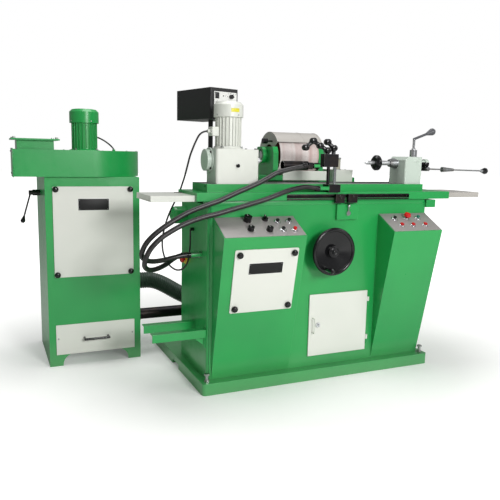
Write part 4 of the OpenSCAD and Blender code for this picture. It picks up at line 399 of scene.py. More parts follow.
def mix_vitrified_stone(colour):
    """Vitrified white alumina, pressed and fired: open pores between grains, drawn 3 mm
    across so that they show, pinkish where the bond is thick and chalky where dressed."""
    tree, shader, place = begin_material("vitrified_stone")
    stretched = add_node(tree, STRETCH, "Vector", {"Vector": place, "Scale": (1, 0.04, 0.04)})
    bands = add_node(
        tree, NOISE, "Fac", {"Vector": stretched, "Scale": 1 / mm(45), "Detail": 1.0}
    )
    belts = add_node(
        tree, RANGE, "Result", {"Value": bands, "From Min": 0.35, "From Max": 0.62}
    )
    grains = add_node(
        tree, "ShaderNodeTexVoronoi", "Distance", {"Vector": place, "Scale": 1 / mm(3)}
    )
    pores = add_node(
        tree, RANGE, "Result",
        {"Value": grains, "From Min": 0.35, "From Max": 0.8, "To Max": 0.35},
    )
    toned = add_node(
        tree, MIX, 2, {0: belts, 6: colour, 7: linear("#e6dedb")}, data_type="RGBA"
    )
    pored = add_node(
        tree, MIX, 2, {0: pores, 6: toned, 7: linear("#8f817a")}, data_type="RGBA"
    )
    rough = add_node(
        tree, BUMP, "Normal", {"Height": grains, "Strength": 0.5, "Distance": mm(0.5)}
    )
    feed(tree, shader, {"Base Color": pored, "Roughness": 0.92, "Normal": rough})


def mix_mottled(name, pitch_mm, first, second, detail, look):
    """A material whose tone drifts between two colours over that pitch: the blotter's dyed
    pulp, the filter's needled felt with dust caught in it, the oil cup's clouded acrylic."""
    tree, shader, place = begin_material(name)
    mottle = add_node(
        tree, NOISE, "Fac", {"Vector": place, "Scale": 1 / mm(pitch_mm), "Detail": detail}
    )
    toned = add_node(
        tree, MIX, 2, {0: mottle, 6: linear(first), 7: linear(second)}, data_type="RGBA"
    )
    feed(tree, shader, {"Base Color": toned, **look})
    return tree, shader, place


def mix_anodised_panel(colour):
    """Anodised aluminium sheet, linished along X: satin grey with lines drawn 1.5 mm apart."""
    tree, shader, place = begin_material("anodised_panel")
    normal, near_edge = rounded_edges(tree, mm(0.8))
    stretched = add_node(tree, STRETCH, "Vector", {"Vector": place, "Scale": (0.03, 1, 1)})
    lines = add_node(
        tree, NOISE, "Fac", {"Vector": stretched, "Scale": 1 / mm(1.5), "Detail": 1.0}
    )
    toned = add_node(
        tree, MIX, 2, {0: lines, 6: colour, 7: linear("#a9a4a2")}, data_type="RGBA"
    )
    # Paler edges: painted highlight.
    edged = add_node(
        tree, MIX, 2, {0: near_edge, 6: toned, 7: linear("#cfcfcf")}, data_type="RGBA"
    )
    lined = add_node(
        tree, BUMP, "Normal",
        {"Height": lines, "Strength": 0.06, "Distance": mm(0.1), "Normal": normal},
    )
    feed(tree, shader, {
        "Base Color": edged, "Metallic": 0.35, "Roughness": 0.45, "Normal": lined,
    })


def mix_black_wrinkle():
    """Stoved wrinkle lacquer on sheet steel: near black, dull, a crinkle drawn at 2.5 mm."""
    tree, shader, place = begin_material("black_lacquer")
    normal, near_edge = rounded_edges(tree, mm(1.5))
    crinkle = add_node(
        tree, NOISE, "Fac",
        {"Vector": place, "Scale": 1 / mm(2.5), "Detail": 2.0, "Distortion": 1.5},
    )
    # Grey edges on the black lacquer: painted highlight.
    edged = add_node(
        tree, MIX, 2, {0: near_edge, 6: linear("#121213"), 7: linear("#4b4b4c")},
        data_type="RGBA",
    )
    crinkled = add_node(
        tree, BUMP, "Normal",
        {"Height": crinkle, "Strength": 0.22, "Distance": mm(0.3), "Normal": normal},
    )
    feed(tree, shader, {"Base Color": edged, "Roughness": 0.48, "Normal": crinkled})


def mix_floor():
    """Sealed pale studio floor: matt, faintly mottled, and fading to the backdrop's white for
    the camera alone."""
    tree, shader, place = mix_mottled(
        "studio_floor", 300, "#f4f4f2", "#efefed", 2.0, {"Roughness": 0.9}
    )
    away = add_node(tree, "ShaderNodeVectorMath", "Value", {0: place}, operation="LENGTH")
    faded = add_node(
        tree, RANGE, "Result",
        {"Value": away, "From Min": FADE_START, "From Max": FADE_END,
         "To Min": FLOOR_GLOW, "To Max": BACKDROP_LIGHT},
    )
    seen = add_node(tree, "ShaderNodeLightPath", "Is Camera Ray")
    glow = add_node(tree, MATH, "Value", {0: faded, 1: seen}, operation="MULTIPLY")
    feed(tree, shader, {"Emission Strength": glow, "Emission Color": linear("#ffffff")})


class GRINDER_OT_mix_finishes(bpy.types.Operator):
    """Mixes every paint, plastic, metal and stone"""

    bl_idname = "grinder.mix_finishes"
    bl_label = "Mix finishes"

    def execute(self, context):
        colours = context.scene.grinder_finishes
        # Each enamel's third colour paints its edges: partly worn enamel, partly painted highlight.
        for name, body, deep, edge, roughness in (
            ("green_enamel", colours.machine_green[:], colours.shade_green[:],
             colours.edge_wear_and_highlight_green[:], 0.3),
            ("deep_green_enamel", linear("#1c7040"), linear("#175c35"), linear("#4aa870"), 0.3),
            ("white_enamel", colours.machine_white[:], linear("#cdd2c8"), linear("#f4f4ee"), 0.34),
            # Tailstock grey-green, also used as painted shade on the workhead's left face.
            ("grey_green_enamel_and_side_shade", colours.head_grey[:], linear("#aebdb0"), linear("#e4ebe3"),
             0.36),
            ("hood_enamel", linear("#b3afa9"), linear("#a19d97"), linear("#d2d0cb"), 0.4),
        ):
            mix_enamel(name, body, deep, edge, roughness)
        for name, colour, roughness in (
            ("black_abs", "#17171a", 0.25), ("black_phenolic", "#101012", 0.18),
            ("grey_nylon", "#4d4e52", 0.4), ("red_abs", "#c4161c", 0.25),
            ("green_abs", "#1d6b5a", 0.28), ("yellow_abs", "#e6c01c", 0.3),
            ("white_abs", "#e6e6e2", 0.3), ("red_lens", "#b01218", 0.12),
            ("blank_label", "#060607", 0.5), ("yellow_film", "#d8cf2a", 0.35),
        ):
            mix_moulded(name, linear(colour), roughness)
        for name, bright, dark, roughness, lay_mm, along in (
            ("bright_steel", "#b9bbbd", "#8f8b84", 0.27, 1.5, (0.1, 1, 1)),
            ("chrome_plate", "#d8dadc", "#bfc2c5", 0.12, 2.0, (0.1, 1, 1)),
            ("black_oxide_steel", "#2b2a2c", "#3a332f", 0.4, 1.5, (1, 1, 1)),
            ("zinc_plate", "#a9adab", "#8b8a80", 0.35, 1.2, (1, 1, 1)),
            ("planed_iron", "#8d9091", "#6a655f", 0.36, 1.6, (0.04, 1, 1)),
        ):
            mix_steel(name, linear(bright), linear(dark), roughness, lay_mm, along)
        mix_hose_rubber(colours.hose_black[:])
        mix_duct_pvc()
        mix_vitrified_stone(colours.stone_white[:])
        mix_mottled("blotter_paper", 2, "#5c1f1b", "#823a2e", 4.0, {"Roughness": 0.85})
        mix_mottled(
            "filter_felt", 8, "#c9c8bd", "#8c8778", 4.0, {"Roughness": 0.95, "Sheen Weight": 0.3}
        )
        mix_anodised_panel(colours.panel_grey[:])
        mix_black_wrinkle()
        mix_mottled(
            "acrylic_oil_cup", 20, "#f2f0e2", "#d9d3b4", 2.0,
            {"Roughness": 0.08, "Transmission Weight": 0.6, "IOR": 1.49},
        )
        mix_floor()
        return {"FINISHED"}


def aimed(point, direction, up=Vector((0, 0, 1))):
    """A placing at the point whose +Z looks along the direction and +Y leans towards up."""
    ahead = Vector(direction).normalized()
    side = Vector(up).cross(ahead)
    if side.length < 1e-6:
        side = Vector((1, 0, 0)).cross(ahead)
        side = side if side.length > 1e-6 else Vector((0, 1, 0))
    side.normalize()
    turn = Matrix((side, ahead.cross(side), ahead)).transposed()
    return Matrix.Translation(point) @ turn.to_4x4()


def panel_place(x, v, h=0.0):
    """A placing on the sloping panels: x along the bed, v up the slope, h out of the sheet."""
    outward = Vector((0, -math.sin(PANEL_SLOPE), math.cos(PANEL_SLOPE)))
    upslope = Vector((0, math.cos(PANEL_SLOPE), math.sin(PANEL_SLOPE)))
    point = PANEL_EDGE + mm(x, 0, 0) + upslope * mm(v) + outward * mm(h)
    return aimed(point, outward, upslope)


def soften(bm, width, angle=math.radians(35)):
    """Bevels the edges that turn by more than the angle."""
    sharp = [e for e in bm.edges if len(e.link_faces) == 2 and e.calc_face_angle(0) > angle]
    bmesh.ops.bevel(
        bm, geom=sharp, offset=width, offset_type="OFFSET", segments=2,
        profile=0.5, affect="EDGES", material=-1, clamp_overlap=True,
    )


def turned(outline, segments=48):
    """A part turned about Z from an outline of (radius, height) pairs in millimetres."""
    bm = bmesh.new()
    rim = [bm.verts.new(mm(r, 0, z)) for r, z in outline]
    for low, high in zip(rim, rim[1:]):
        bm.edges.new((low, high))
    bmesh.ops.spin(
        bm, geom=bm.verts[:] + bm.edges[:], cent=(0, 0, 0), axis=(0, 0, 1),
        angle=math.tau, steps=segments, use_merge=True,
    )
    bmesh.ops.remove_doubles(bm, verts=bm.verts, dist=WELD)
    bmesh.ops.recalc_face_normals(bm, faces=bm.faces)
    return bm


def block(width, depth, height, edge=0.0):
    """A block on its base at z 0, in millimetres, with its edges rounded."""
    bm = bmesh.new()
    bmesh.ops.create_cube(bm, size=1.0)
    bmesh.ops.scale(bm, vec=mm(width, depth, height), verts=bm.verts)
    bmesh.ops.translate(bm, vec=mm(0, 0, height / 2), verts=bm.verts)
    if edge:
        soften(bm, mm(edge))
    return bm


def disc(radius, height, edge=0.0, segments=32):
    """A round slug on its base at z 0, in millimetres, with its edges rounded."""
    bm = bmesh.new()
    bmesh.ops.create_cone(
        bm, cap_ends=True, segments=segments, radius1=mm(radius), radius2=mm(radius),
        depth=mm(height),
    )
    bmesh.ops.translate(bm, vec=mm(0, 0, height / 2), verts=bm.verts)
    if edge:
        soften(bm, mm(edge))
    return bm


def hexagon_bolt(across):
    """A hexagon head with its chamfered crown on a round washer."""
    bm = disc(across / MM * 0.78, 1.4, 0.4, 24)
    head = bmesh.new()
    bmesh.ops.create_cone(
        head, cap_ends=True, segments=6, radius1=across * 0.577, radius2=across * 0.577,
        depth=across * 0.55,
    )
    bmesh.ops.translate(head, vec=(0, 0, mm(1.4) + across * 0.275), verts=head.verts)
    soften(head, across * 0.07, math.radians(20))
    stamp(bm, head, Matrix.Identity(4))
    head.free()
    return bm


def socket_screw(head):
    """A cylinder head with a hexagon socket sunk in it."""
    radius = head / MM / 2
    bm = disc(radius, radius * 0.9, 0.3, 24)
    top = max(bm.faces, key=lambda f: f.calc_center_median().z)
    bmesh.ops.inset_region(bm, faces=[top], thickness=mm(radius * 0.45))
    top = max(bm.faces, key=lambda f: (round(f.calc_center_median().z, 6), len(f.verts)))
    sunk = bmesh.ops.extrude_face_region(bm, geom=[top])
    floor = [v for v in sunk["geom"] if isinstance(v, bmesh.types.BMVert)]
    bmesh.ops.delete(bm, geom=[top], context="FACES_ONLY")
    bmesh.ops.translate(bm, vec=mm(0, 0, -radius * 0.55), verts=floor)
    bmesh.ops.recalc_face_normals(bm, faces=bm.faces)
    return bm


def domed_screw(head):
    """A pan head with a round recess."""
    radius = head / MM / 2
    dome = [
        (radius * math.cos(a), radius * (0.25 + 0.45 * math.sin(a)))
        for a in (math.radians(20 * i) for i in range(1, 4))
    ]
    return turned(
        [(0, 0), (radius, 0), (radius, radius * 0.25)] + dome
        + [(radius * 0.28, radius * 0.69), (radius * 0.2, radius * 0.4), (0, radius * 0.4)], 16,
    )


def stamp(bm, template, place, material=0):
    """Adds a placed copy of a template to a mesh under way."""
    copied = bpy.data.meshes.new("stamp")
    template.to_mesh(copied)
    copied.transform(place)
    first = len(bm.faces)
    bm.from_mesh(copied)
    bm.faces.ensure_lookup_table()
    for face in bm.faces[first:]:
        face.material_index += material
    bpy.data.meshes.remove(copied)


def finish_piece(name, bm, materials, body=None, smooth_to=40.0):
    """Makes the piece's object at the origin, with its materials and its body."""
    mesh = bpy.data.meshes.new(name)
    bm.to_mesh(mesh)
    bm.free()
    for material in materials:
        mesh.materials.append(bpy.data.materials[material])
    mesh.shade_smooth()
    mesh.set_sharp_from_angle(angle=math.radians(smooth_to))
    piece = bpy.data.objects.new(name, mesh)
    bpy.context.scene.collection.objects.link(piece)
    if body:
        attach(piece, body)
    return piece


def assemble(name, materials, body, groups):
    """Makes a piece of placed copies. A group is a template, its placings and its finish."""
    bm = bmesh.new()
    for template, places, finish in groups:
        for place in places:
            stamp(bm, template, place, finish)
        template.free()
    finish_piece(name, bm, materials, body)


def smooth_route(points, step):
    """A route through given points in millimetres, evenly stepped along its splines."""
    spline = [Vector(p) * MM for p in points]
    route = []
    for i in range(len(spline) - 1):
        before = spline[max(i - 1, 0)]
        after = spline[min(i + 2, len(spline) - 1)]
        here, there = spline[i], spline[i + 1]
        count = max(2, round((there - here).length / step))
        for j in range(count):
            t = j / count
            route.append(
                0.5 * (
                    2 * here + (there - before) * t
                    + (2 * before - 5 * here + 4 * there - after) * t ** 2
                    + (3 * here - before - 3 * there + after) * t ** 3
                )
            )
    route.append(spline[-1])
    return route


def sweep(route, radius_at, sides=20, closed_ends=True):
    """A tube swept along a route. radius_at gives (radius, valley share) for a distance."""
    bm = bmesh.new()
    along_layer = bm.verts.layers.float.new("along")
    valley_layer = bm.verts.layers.float.new("valley")
    tangent = (route[1] - route[0]).normalized()
    side = tangent.orthogonal().normalized()
    travelled = 0.0
    last_ring = None
    rings = []
    for i, point in enumerate(route):
        if i:
            travelled += (point - route[i - 1]).length
        ahead = (route[min(i + 1, len(route) - 1)] - route[max(i - 1, 0)]).normalized()
        side = (side - ahead * side.dot(ahead)).normalized()
        place = Matrix.Translation(point) @ Matrix(
            (side, ahead.cross(side), ahead)
        ).transposed().to_4x4()
        radius, valley = radius_at(travelled)
        ring = bmesh.ops.create_circle(bm, segments=sides, radius=radius, matrix=place)["verts"]
        for vert in ring:
            vert[along_layer] = travelled
            vert[valley_layer] = valley
        edges = {e for v in ring for e in v.link_edges}
        if last_ring:
            bmesh.ops.bridge_loops(bm, edges=list(edges | last_ring))
        last_ring = edges
        rings.append(ring)
    if closed_ends:
        bmesh.ops.contextual_create(bm, geom=rings[0])
        bmesh.ops.contextual_create(bm, geom=rings[-1])
    bmesh.ops.recalc_face_normals(bm, faces=bm.faces)
    return bm


def paint(node, finishes, chooser=None):
    """Gives a CAD node its materials and a finish to each of its faces."""
    shown = cad_nodes[node]
    shown.data.materials.clear()
    for finish in finishes:
        shown.data.materials.append(bpy.data.materials[finish])
    for face in shown.data.polygons:
        face.material_index = chooser(face.center / MM) if chooser else 0


# Frame nodes that have one finish all over
PLAIN_FINISHES = {
    "green_enamel": (
        "base_plinth", "bracket_arms", "table_drive", "blower_housing", "blower_motor",
    ),
    "zinc_plate": ("levelling_screws", "impeller"),
    "white_enamel": ("access_covers", "workhead_motor", "door"),
    "black_phenolic": (
        "cover_knobs", "shaker_lever", "guard_knob", "crank_handle", "box_knob", "speed_knob",
        "mode_knob", "feed_knob", "dwell_knob",
    ),
    "black_lacquer": ("control_post", "control_box"),
    "filter_felt": ("filter_cartridge",),
    "black_oxide_steel": ("lower_pipe", "table_fittings"),
    "bright_steel": ("work_spindle",),
    "hood_enamel": ("wheel_guard",),
    "deep_green_enamel": ("wheel_motor",),
    "chrome_plate": ("door_lock", "reversing_lever"),
    "black_abs": ("box_switch",),
    "red_abs": ("e_stop", "wheel_stop_button"),
}

# A frame node's finish, then those of its regions as (finish, low, high) in millimetres
REGION_FINISHES = {
    "machine_body": (
        "green_enamel",
        ("zinc_plate", (-702, -335, 640), (-646, -225, 692)),
        ("black_phenolic", (-664, -212, 778), (-646, -188, 802)),
    ),
    "collector_cabinet": (
        "green_enamel", ("black_phenolic", (-1400, 440, 890), (-1329.8, 540, 980)),
    ),
    "drawer": (
        "white_enamel", ("black_phenolic", (-1170, 150, 132), (-990, 195.9, 168)),
    ),
    "lower_table": (
        "green_enamel", ("black_oxide_steel", (-700, -438.5, 950), (790, -395, 985)),
    ),
    "upper_table": ("green_enamel", ("planed_iron", (-646, -396, 1028), (641, -174, 1030))),
    "table_guards": ("white_enamel", ("hood_enamel", (794, -500, 900), (1040, 300, 1040))),
    "workhead": (
        "white_enamel",
        # The workhead's left face: white enamel given the tailstock's grey-green as painted shade
        # on the side away from the light.
        ("grey_green_enamel_and_side_shade", (-623, -383, 1028), (-591.9, -223, 1204)),
        ("black_phenolic", (-492, -383, 1104), (-468, -375.1, 1130)),
    ),
    "tailstock": (
        "grey_green_enamel_and_side_shade",
        ("black_oxide_steel", (644, -339, 1050), (748, -230, 1150)),
        ("planed_iron", (482, -339, 1100), (527.9, -230, 1190)),
        ("chrome_plate", (580, -364, 1180), (630, -314, 1219)),
    ),
    "suction_post": (
        "black_oxide_steel",
        ("chrome_plate", (15, -430, 1026), (66, -404, 1112)),
        ("green_enamel", (-75, -470, 1080), (13, -430, 1130)),
        ("green_enamel", (-60, -470, 985), (12, -440, 1026)),
    ),
    "quill": (
        "bright_steel", ("black_phenolic", (379, -330, 1098), (415, -240, 1186)),
    ),
    "retract_lever": (
        "planed_iron", ("black_phenolic", (1150, -330, 1080), (1195, -270, 1130)),
    ),
    "clamp_lever": ("grey_nylon", ("chrome_plate", (590, -360, 1190), (625, -318, 1262))),
    "wheel_slide": (
        "green_enamel", ("white_enamel", (-106, -126, 1035), (176, -41, 1093)),
    ),
    "spindle_housing": (
        "green_enamel",
        ("acrylic_oil_cup", (240, -110, 1096.5), (290, -60, 1159)),
        ("white_enamel", (-106, -126, 1035), (134, -39.9, 1093)),
        ("white_enamel", (234, -120, 1015), (361, 111, 1098)),
        # Black faces at the bearing's left end, showing in the cover's recess round the spindle:
        # painted shade in the gap.
        ("black_oxide_steel", (-198, -66, 1126), (-196.9, 26, 1218)),
    ),
    "grinding_wheel": (
        "vitrified_stone",
        ("bright_steel", (-197, -45, 1145), (202, 5, 1199)),
        ("blotter_paper", (-129, -131, 1061), (-124.9, 91, 1283)),
        ("blotter_paper", (114.9, -131, 1061), (119, 91, 1283)),
    ),
    "handwheel": (
        "black_phenolic", ("bright_steel", (-1, -478, 672), (31, -379, 704)),
    ),
}


def inside(point, low, high):
    """Whether a point is in a box."""
    return all(a <= p <= b for p, a, b in zip(point, low, high))


def panel_spot(point):
    """A point in mm as (x, v, h) on the sloping panels."""
    y = point.y - PANEL_EDGE.y / MM
    z = point.z - PANEL_EDGE.z / MM
    run, rise = math.cos(PANEL_SLOPE), math.sin(PANEL_SLOPE)
    return point.x, y * run + z * rise, z * run - y * rise


class GRINDER_OT_paint_frame(bpy.types.Operator):
    """Paints the castings, sheets and shafts of the frame"""

    bl_idname = "grinder.paint_frame"
    bl_label = "Paint the frame"

    def execute(self, context):
        for finish, nodes in PLAIN_FINISHES.items():
            for node in nodes:
                paint(node, [finish])
        for node, (finish, *regions) in REGION_FINISHES.items():
            def chosen(centre, regions=regions):
                for i, (_, low, high) in enumerate(regions):
                    if inside(centre, low, high):
                        return i + 1
                return 0
            paint(node, [finish] + [r[0] for r in regions], chosen)
        for node, (*_, finish) in PUSH_BUTTONS.items():
            paint(node, [finish])
        paint(
            "control_panels",
            ["anodised_panel", "white_abs", "red_lens", "yellow_abs"],
            self.panel_finish,
        )
        return {"FINISHED"}

    @staticmethod
    def panel_finish(centre):
        """Sheet, bezel, lens or yellow collar, by where the face is."""
        if centre.x < STOP_COLLAR_EDGE[0] and centre.z < STOP_COLLAR_EDGE[1]:
            return 3
        x, v, h = panel_spot(centre)
        if h < SHEET / MM + 0.4:
            return 0
        for lamp_x, lamp_v in LAMPS:
            if math.hypot(x - lamp_x, v - lamp_v) < LAMP_RADIUS:
                return 2
        return 1


def lay_line(name, points, radius, replaced, spans):
    """A hose or lead laid along its route; one that spans two bodies stays unjoined in place, any
    other is joined to the machine.
    """
    route = smooth_route(points, mm(8))
    tube = sweep(route, lambda _: (radius, 0.0), 20 if radius > mm(6) else 14)
    piece = finish_piece(name, tube, ["hose_rubber"], smooth_to=60)
    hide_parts(replaced)
    if spans:
        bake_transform(piece)
    else:
        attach(piece, "machine")


def collar(bm, route_end, inward, radius, length):
    """A crimped collar round a hose's end, three rolled grooves in it."""
    grooves = []
    for i in range(3):
        z = length * (0.25 + 0.25 * i)
        grooves += [(radius, z - 1.2), (radius - 1.0, z), (radius, z + 1.2)]
    ring = turned(
        [(0, 0), (radius - 1, 0), (radius, 1)] + grooves
        + [(radius, length - 1), (radius - 1, length), (0, length)], 28,
    )
    stamp(bm, ring, aimed(route_end, inward))
    ring.free()


class GRINDER_OT_lay_hoses(bpy.types.Operator):
    """Lays the two suction hoses from the wheel and the table to the left cheek"""

    bl_idname = "grinder.lay_hoses"
    bl_label = "Lay the hoses"

    def execute(self, context):
        lay_line("suction_hose_upper", UPPER_HOSE, HOSE_RADIUS, "upper_hose",
                 (mm(0, 0, 690), mm(0, 0, 1000)))
        lay_line("suction_hose_lower", LOWER_HOSE, HOSE_RADIUS, "lower_hose",
                 (mm(0, 0, 680), mm(0, 0, 950)))
        for body, side, end in (("machine", "cheek", -1), ("table", "head", 0)):
            bm = bmesh.new()
            for hose in (UPPER_HOSE, LOWER_HOSE):
                collar(bm, mm(*hose[end]), LEFT, HOSE_RADIUS / MM + 2.5, 24)
            finish_piece(f"hose_collars_{side}", bm, ["black_oxide_steel"], body)
        return {"FINISHED"}


class GRINDER_OT_lay_leads(bpy.types.Operator):
    """Lays the electric leads of the workhead motor and the blower"""

    bl_idname = "grinder.lay_leads"
    bl_label = "Lay the leads"

    def execute(self, context):
        lay_line("workhead_motor_lead", MOTOR_CABLE, CABLE_RADIUS, "motor_cable",
                 (mm(0, 0, 800), mm(0, 0, 1150)))
        lay_line("blower_motor_lead", BLOWER_CABLE, CABLE_RADIUS, "blower_cable", None)
        return {"FINISHED"}


class GRINDER_OT_lay_duct(bpy.types.Operator):
    """Forms the ribbed dust duct between the bed and the collector"""

    bl_idname = "grinder.lay_duct"
    bl_label = "Lay the dust duct"

    def execute(self, context):
        fittings = context.scene.grinder_fittings
        pitch, rib = fittings.duct_pitch, fittings.duct_rib
        lead = Vector((2 * DUCT_RADIUS, 0, 0))
        pull = Vector((DUCT_BEND, 0, 0))
        first, last = DUCT_START + lead, DUCT_END - lead
        straight, count = 60, 160
        route = [DUCT_START + lead * (i / straight) for i in range(straight)]
        for i in range(count + 1):
            t = i / count
            route.append(
                first * (1 - t) ** 3 + (first + pull) * 3 * t * (1 - t) ** 2
                + (last - pull) * 3 * t ** 2 * (1 - t) + last * t ** 3
            )
        route += [last + lead * (i / straight) for i in range(1, straight + 1)]

        def ribbed(along):
            valley = 0.5 - 0.5 * math.cos(math.tau * along / pitch)
            return DUCT_RADIUS - rib * valley, valley

        wall = sweep(route, ribbed, 36, closed_ends=False)
        piece = finish_piece("dust_duct", wall, ["duct_pvc"], "machine", 60)
        thick = piece.modifiers.new("wall", "SOLIDIFY")
        thick.thickness = mm(2)
        thick.offset = -1.0
        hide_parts("duct_hose")
        return {"FINISHED"}


def heading(degrees):
    """The level direction at an angle from +X."""
    return Vector((math.cos(math.radians(degrees)), math.sin(math.radians(degrees)), 0))


def facing(out, points):
    """Placings at points in millimetres that all look one way."""
    return [aimed(mm(*point), out) for point in points]


class GRINDER_OT_fit_controls(bpy.types.Operator):
    """Fits bezels, caps, pointers and dial marks to the two sloping panels"""

    bl_idname = "grinder.fit_controls"
    bl_label = "Fit the controls"

    def execute(self, context):
        ring = turned(
            [(11.5, 6.0), (11.5, 7.6), (14.0, 7.6), (15.4, 6.6), (15.8, 5.0), (15.8, 1.4),
             (17.4, 1.0), (17.4, -0.2), (13.0, -0.2)], 40,
        )
        spots = [(x, v) for x, v, _ in PUSH_BUTTONS.values()] + [MUSHROOM]
        places = [panel_place(x, v, SHEET / MM) for x, v in spots]
        places += [panel_place(x, v, SHEET / MM) @ Matrix.Scale(0.88, 4) for x, v in LAMPS]
        assemble("button_bezels", ["chrome_plate"], "machine", [(ring, places, 0)])
        for node, (x, v, finish) in PUSH_BUTTONS.items():
            cap = turned(
                [(0, -2.0), (9.25, -2.0), (9.25, 0.4), (8.6, 1.2), (7.4, 1.4), (4.0, 0.7),
                 (0, 0.5)], 32,
            )
            assemble(
                f"{node}_cap", [finish], f"{node}_body",
                [(cap, [panel_place(x, v, BUTTON_TOP)], 0)],
            )
        dome = [
            (11.4 * math.cos(a), 9.4 + 4.4 * math.sin(a))
            for a in (math.radians(15 * i) for i in range(6))
        ]
        lens = turned([(0, 8.0), (10.5, 8.0)] + dome + [(0, 13.8)], 32)
        assemble("lamp_lenses", ["red_lens"], "machine", [
            (lens, [panel_place(x, v, SHEET / MM - 1.2) for x, v in LAMPS], 0),
        ])
        self.mark_dials()
        return {"FINISHED"}

    @staticmethod
    def mark_dials():
        """Pointer lines on the knobs and a scale of plain ticks round each."""
        ticks = []
        for node, (x, v, reach, top) in KNOBS.items():
            dial = panel_place(x, v, SHEET / MM - 0.1)
            ticks += [
                dial @ Matrix.Rotation(math.radians(-135 + 27 * i), 4, "Z")
                @ Matrix.Translation(mm(0, reach + 5, 0)) for i in range(11)
            ]
            face = panel_place(x, v, top - 0.3) @ Matrix.Translation(mm(0, reach * 0.52, 0))
            assemble(f"{node}_line", ["white_abs"], f"{node}_body", [
                (block(2.2, reach * 0.72, 0.7, 0.2), [face], 0),
            ])
        assemble("dial_marks", ["white_abs"], "machine", [
            (block(1.3, 5, 0.5), ticks, 0),
        ])


def box_place(x, z, out=0.0):
    """A placing on the control box's front: x across, z up from its floor, out of its face."""
    turn = Matrix.Rotation(BOX_TURN, 4, "Z")
    point = BOX_FLOOR + turn @ mm(x, BOX_FRONT - out, z)
    return aimed(point, turn @ Vector((0, -1, 0)))


def sheet_with_window(width, height, thickness, window):
    """A flat sheet centred on the origin, facing +Z, with one rectangular window cut in it."""
    bm = bmesh.new()
    bmesh.ops.create_grid(bm, x_segments=1, y_segments=1, size=0.5)
    bmesh.ops.scale(bm, vec=mm(width, height, 1000), verts=bm.verts)
    x0, y0, x1, y1 = window
    for point, normal in (
        (mm(x0, 0, 0), (1, 0, 0)), (mm(x1, 0, 0), (1, 0, 0)),
        (mm(0, y0, 0), (0, 1, 0)), (mm(0, y1, 0), (0, 1, 0)),
    ):
        bmesh.ops.bisect_plane(
            bm, geom=bm.verts[:] + bm.edges[:] + bm.faces[:], plane_co=point, plane_no=normal
        )
    holed = [
        f for f in bm.faces
        if x0 < f.calc_center_median().x / MM < x1 and y0 < f.calc_center_median().y / MM < y1
    ]
    bmesh.ops.delete(bm, geom=holed, context="FACES")
    raised = bmesh.ops.extrude_face_region(bm, geom=bm.faces[:])
    lifted = [v for v in raised["geom"] if isinstance(v, bmesh.types.BMVert)]
    bmesh.ops.translate(bm, vec=mm(0, 0, thickness), verts=lifted)
    bmesh.ops.recalc_face_normals(bm, faces=bm.faces)
    return bm


class GRINDER_OT_fit_control_box(bpy.types.Operator):
    """Fits the white fascia, its marks and screws to the swivelling control box"""

    bl_idname = "grinder.fit_control_box"
    bl_label = "Fit the control box"

    def execute(self, context):
        (x, z), (across, up) = FASCIA_CENTRE, SWITCH_HALF
        left, low = SWITCH_CENTRE[0] - x, SWITCH_CENTRE[1] - z
        window = (left - across, low - up, left + across, low + up)
        dots = (
            (-46, 90, 0.7), (-58, 84, 0.7), (-58, 76, 0.7), (-8, 118, 1.3), (4, 118, 0.8),
            (18, 116, 0.7), (62, 116, 0.8), (24, 130, 0.7), (56, 130, 0.7), (40, 134, 0.8),
        )
        marks = [box_place(x, z) @ Matrix.Diagonal((size, size, 1.0, 1.0)) for x, z, size in dots]
        screws = [box_place(x, z, 1.1) for x in (-59, 73) for z in (65, 133)]
        assemble(
            "control_box_fascia", ["white_abs", "black_abs", "zinc_plate"],
            "control_box_body",
            [(sheet_with_window(142, 78, 1.2, window), [box_place(*FASCIA_CENTRE)], 0),
             (disc(2.6, 1.5), marks, 1), (block(58, 5, 1.5), [box_place(-24, 84)], 1),
             (domed_screw(mm(6)), screws, 2)],
        )
        return {"FINISHED"}


def motor_trim(axis, base, flange, frame_length, cover_radius, cover_length, bolt_ring):
    """Fan grille, cowl screws and flange bolts of one upright motor, as groups of copies.
    Finish 0 is the motor's own, 1 is dark and 2 is the screws'."""
    cowl = base + flange + frame_length
    top = Matrix.Translation(mm(*axis, cowl + cover_length))
    groups = [(disc(cover_radius * 0.66, 1.2), [top @ Matrix.Translation(mm(0, 0, -0.6))], 1)]
    for share in (0.66, 0.52, 0.38, 0.24):
        outer = cover_radius * share
        ring = turned(
            [(outer - 3, 0), (outer, 0), (outer, 2.2), (outer - 3, 2.2), (outer - 3, 0)], 40
        )
        groups.append((ring, [top], 0))
    spokes = [top @ Matrix.Rotation(math.radians(45 * i), 4, "Z") for i in range(4)]
    screws = [
        aimed(mm(*axis, cowl + 10) + out * mm(cover_radius - 0.3), out)
        for out in (heading(20 + 90 * i) for i in range(4))
    ]
    bolts = [
        Matrix.Translation(mm(*axis, base + flange * 0.45) + heading(45 + 90 * i) * mm(bolt_ring))
        for i in range(4)
    ]
    return groups + [
        (block(cover_radius * 1.3, 3, 2.0), spokes, 0), (domed_screw(mm(8)), screws, 2),
        (hexagon_bolt(mm(10)), bolts, 2),
    ]


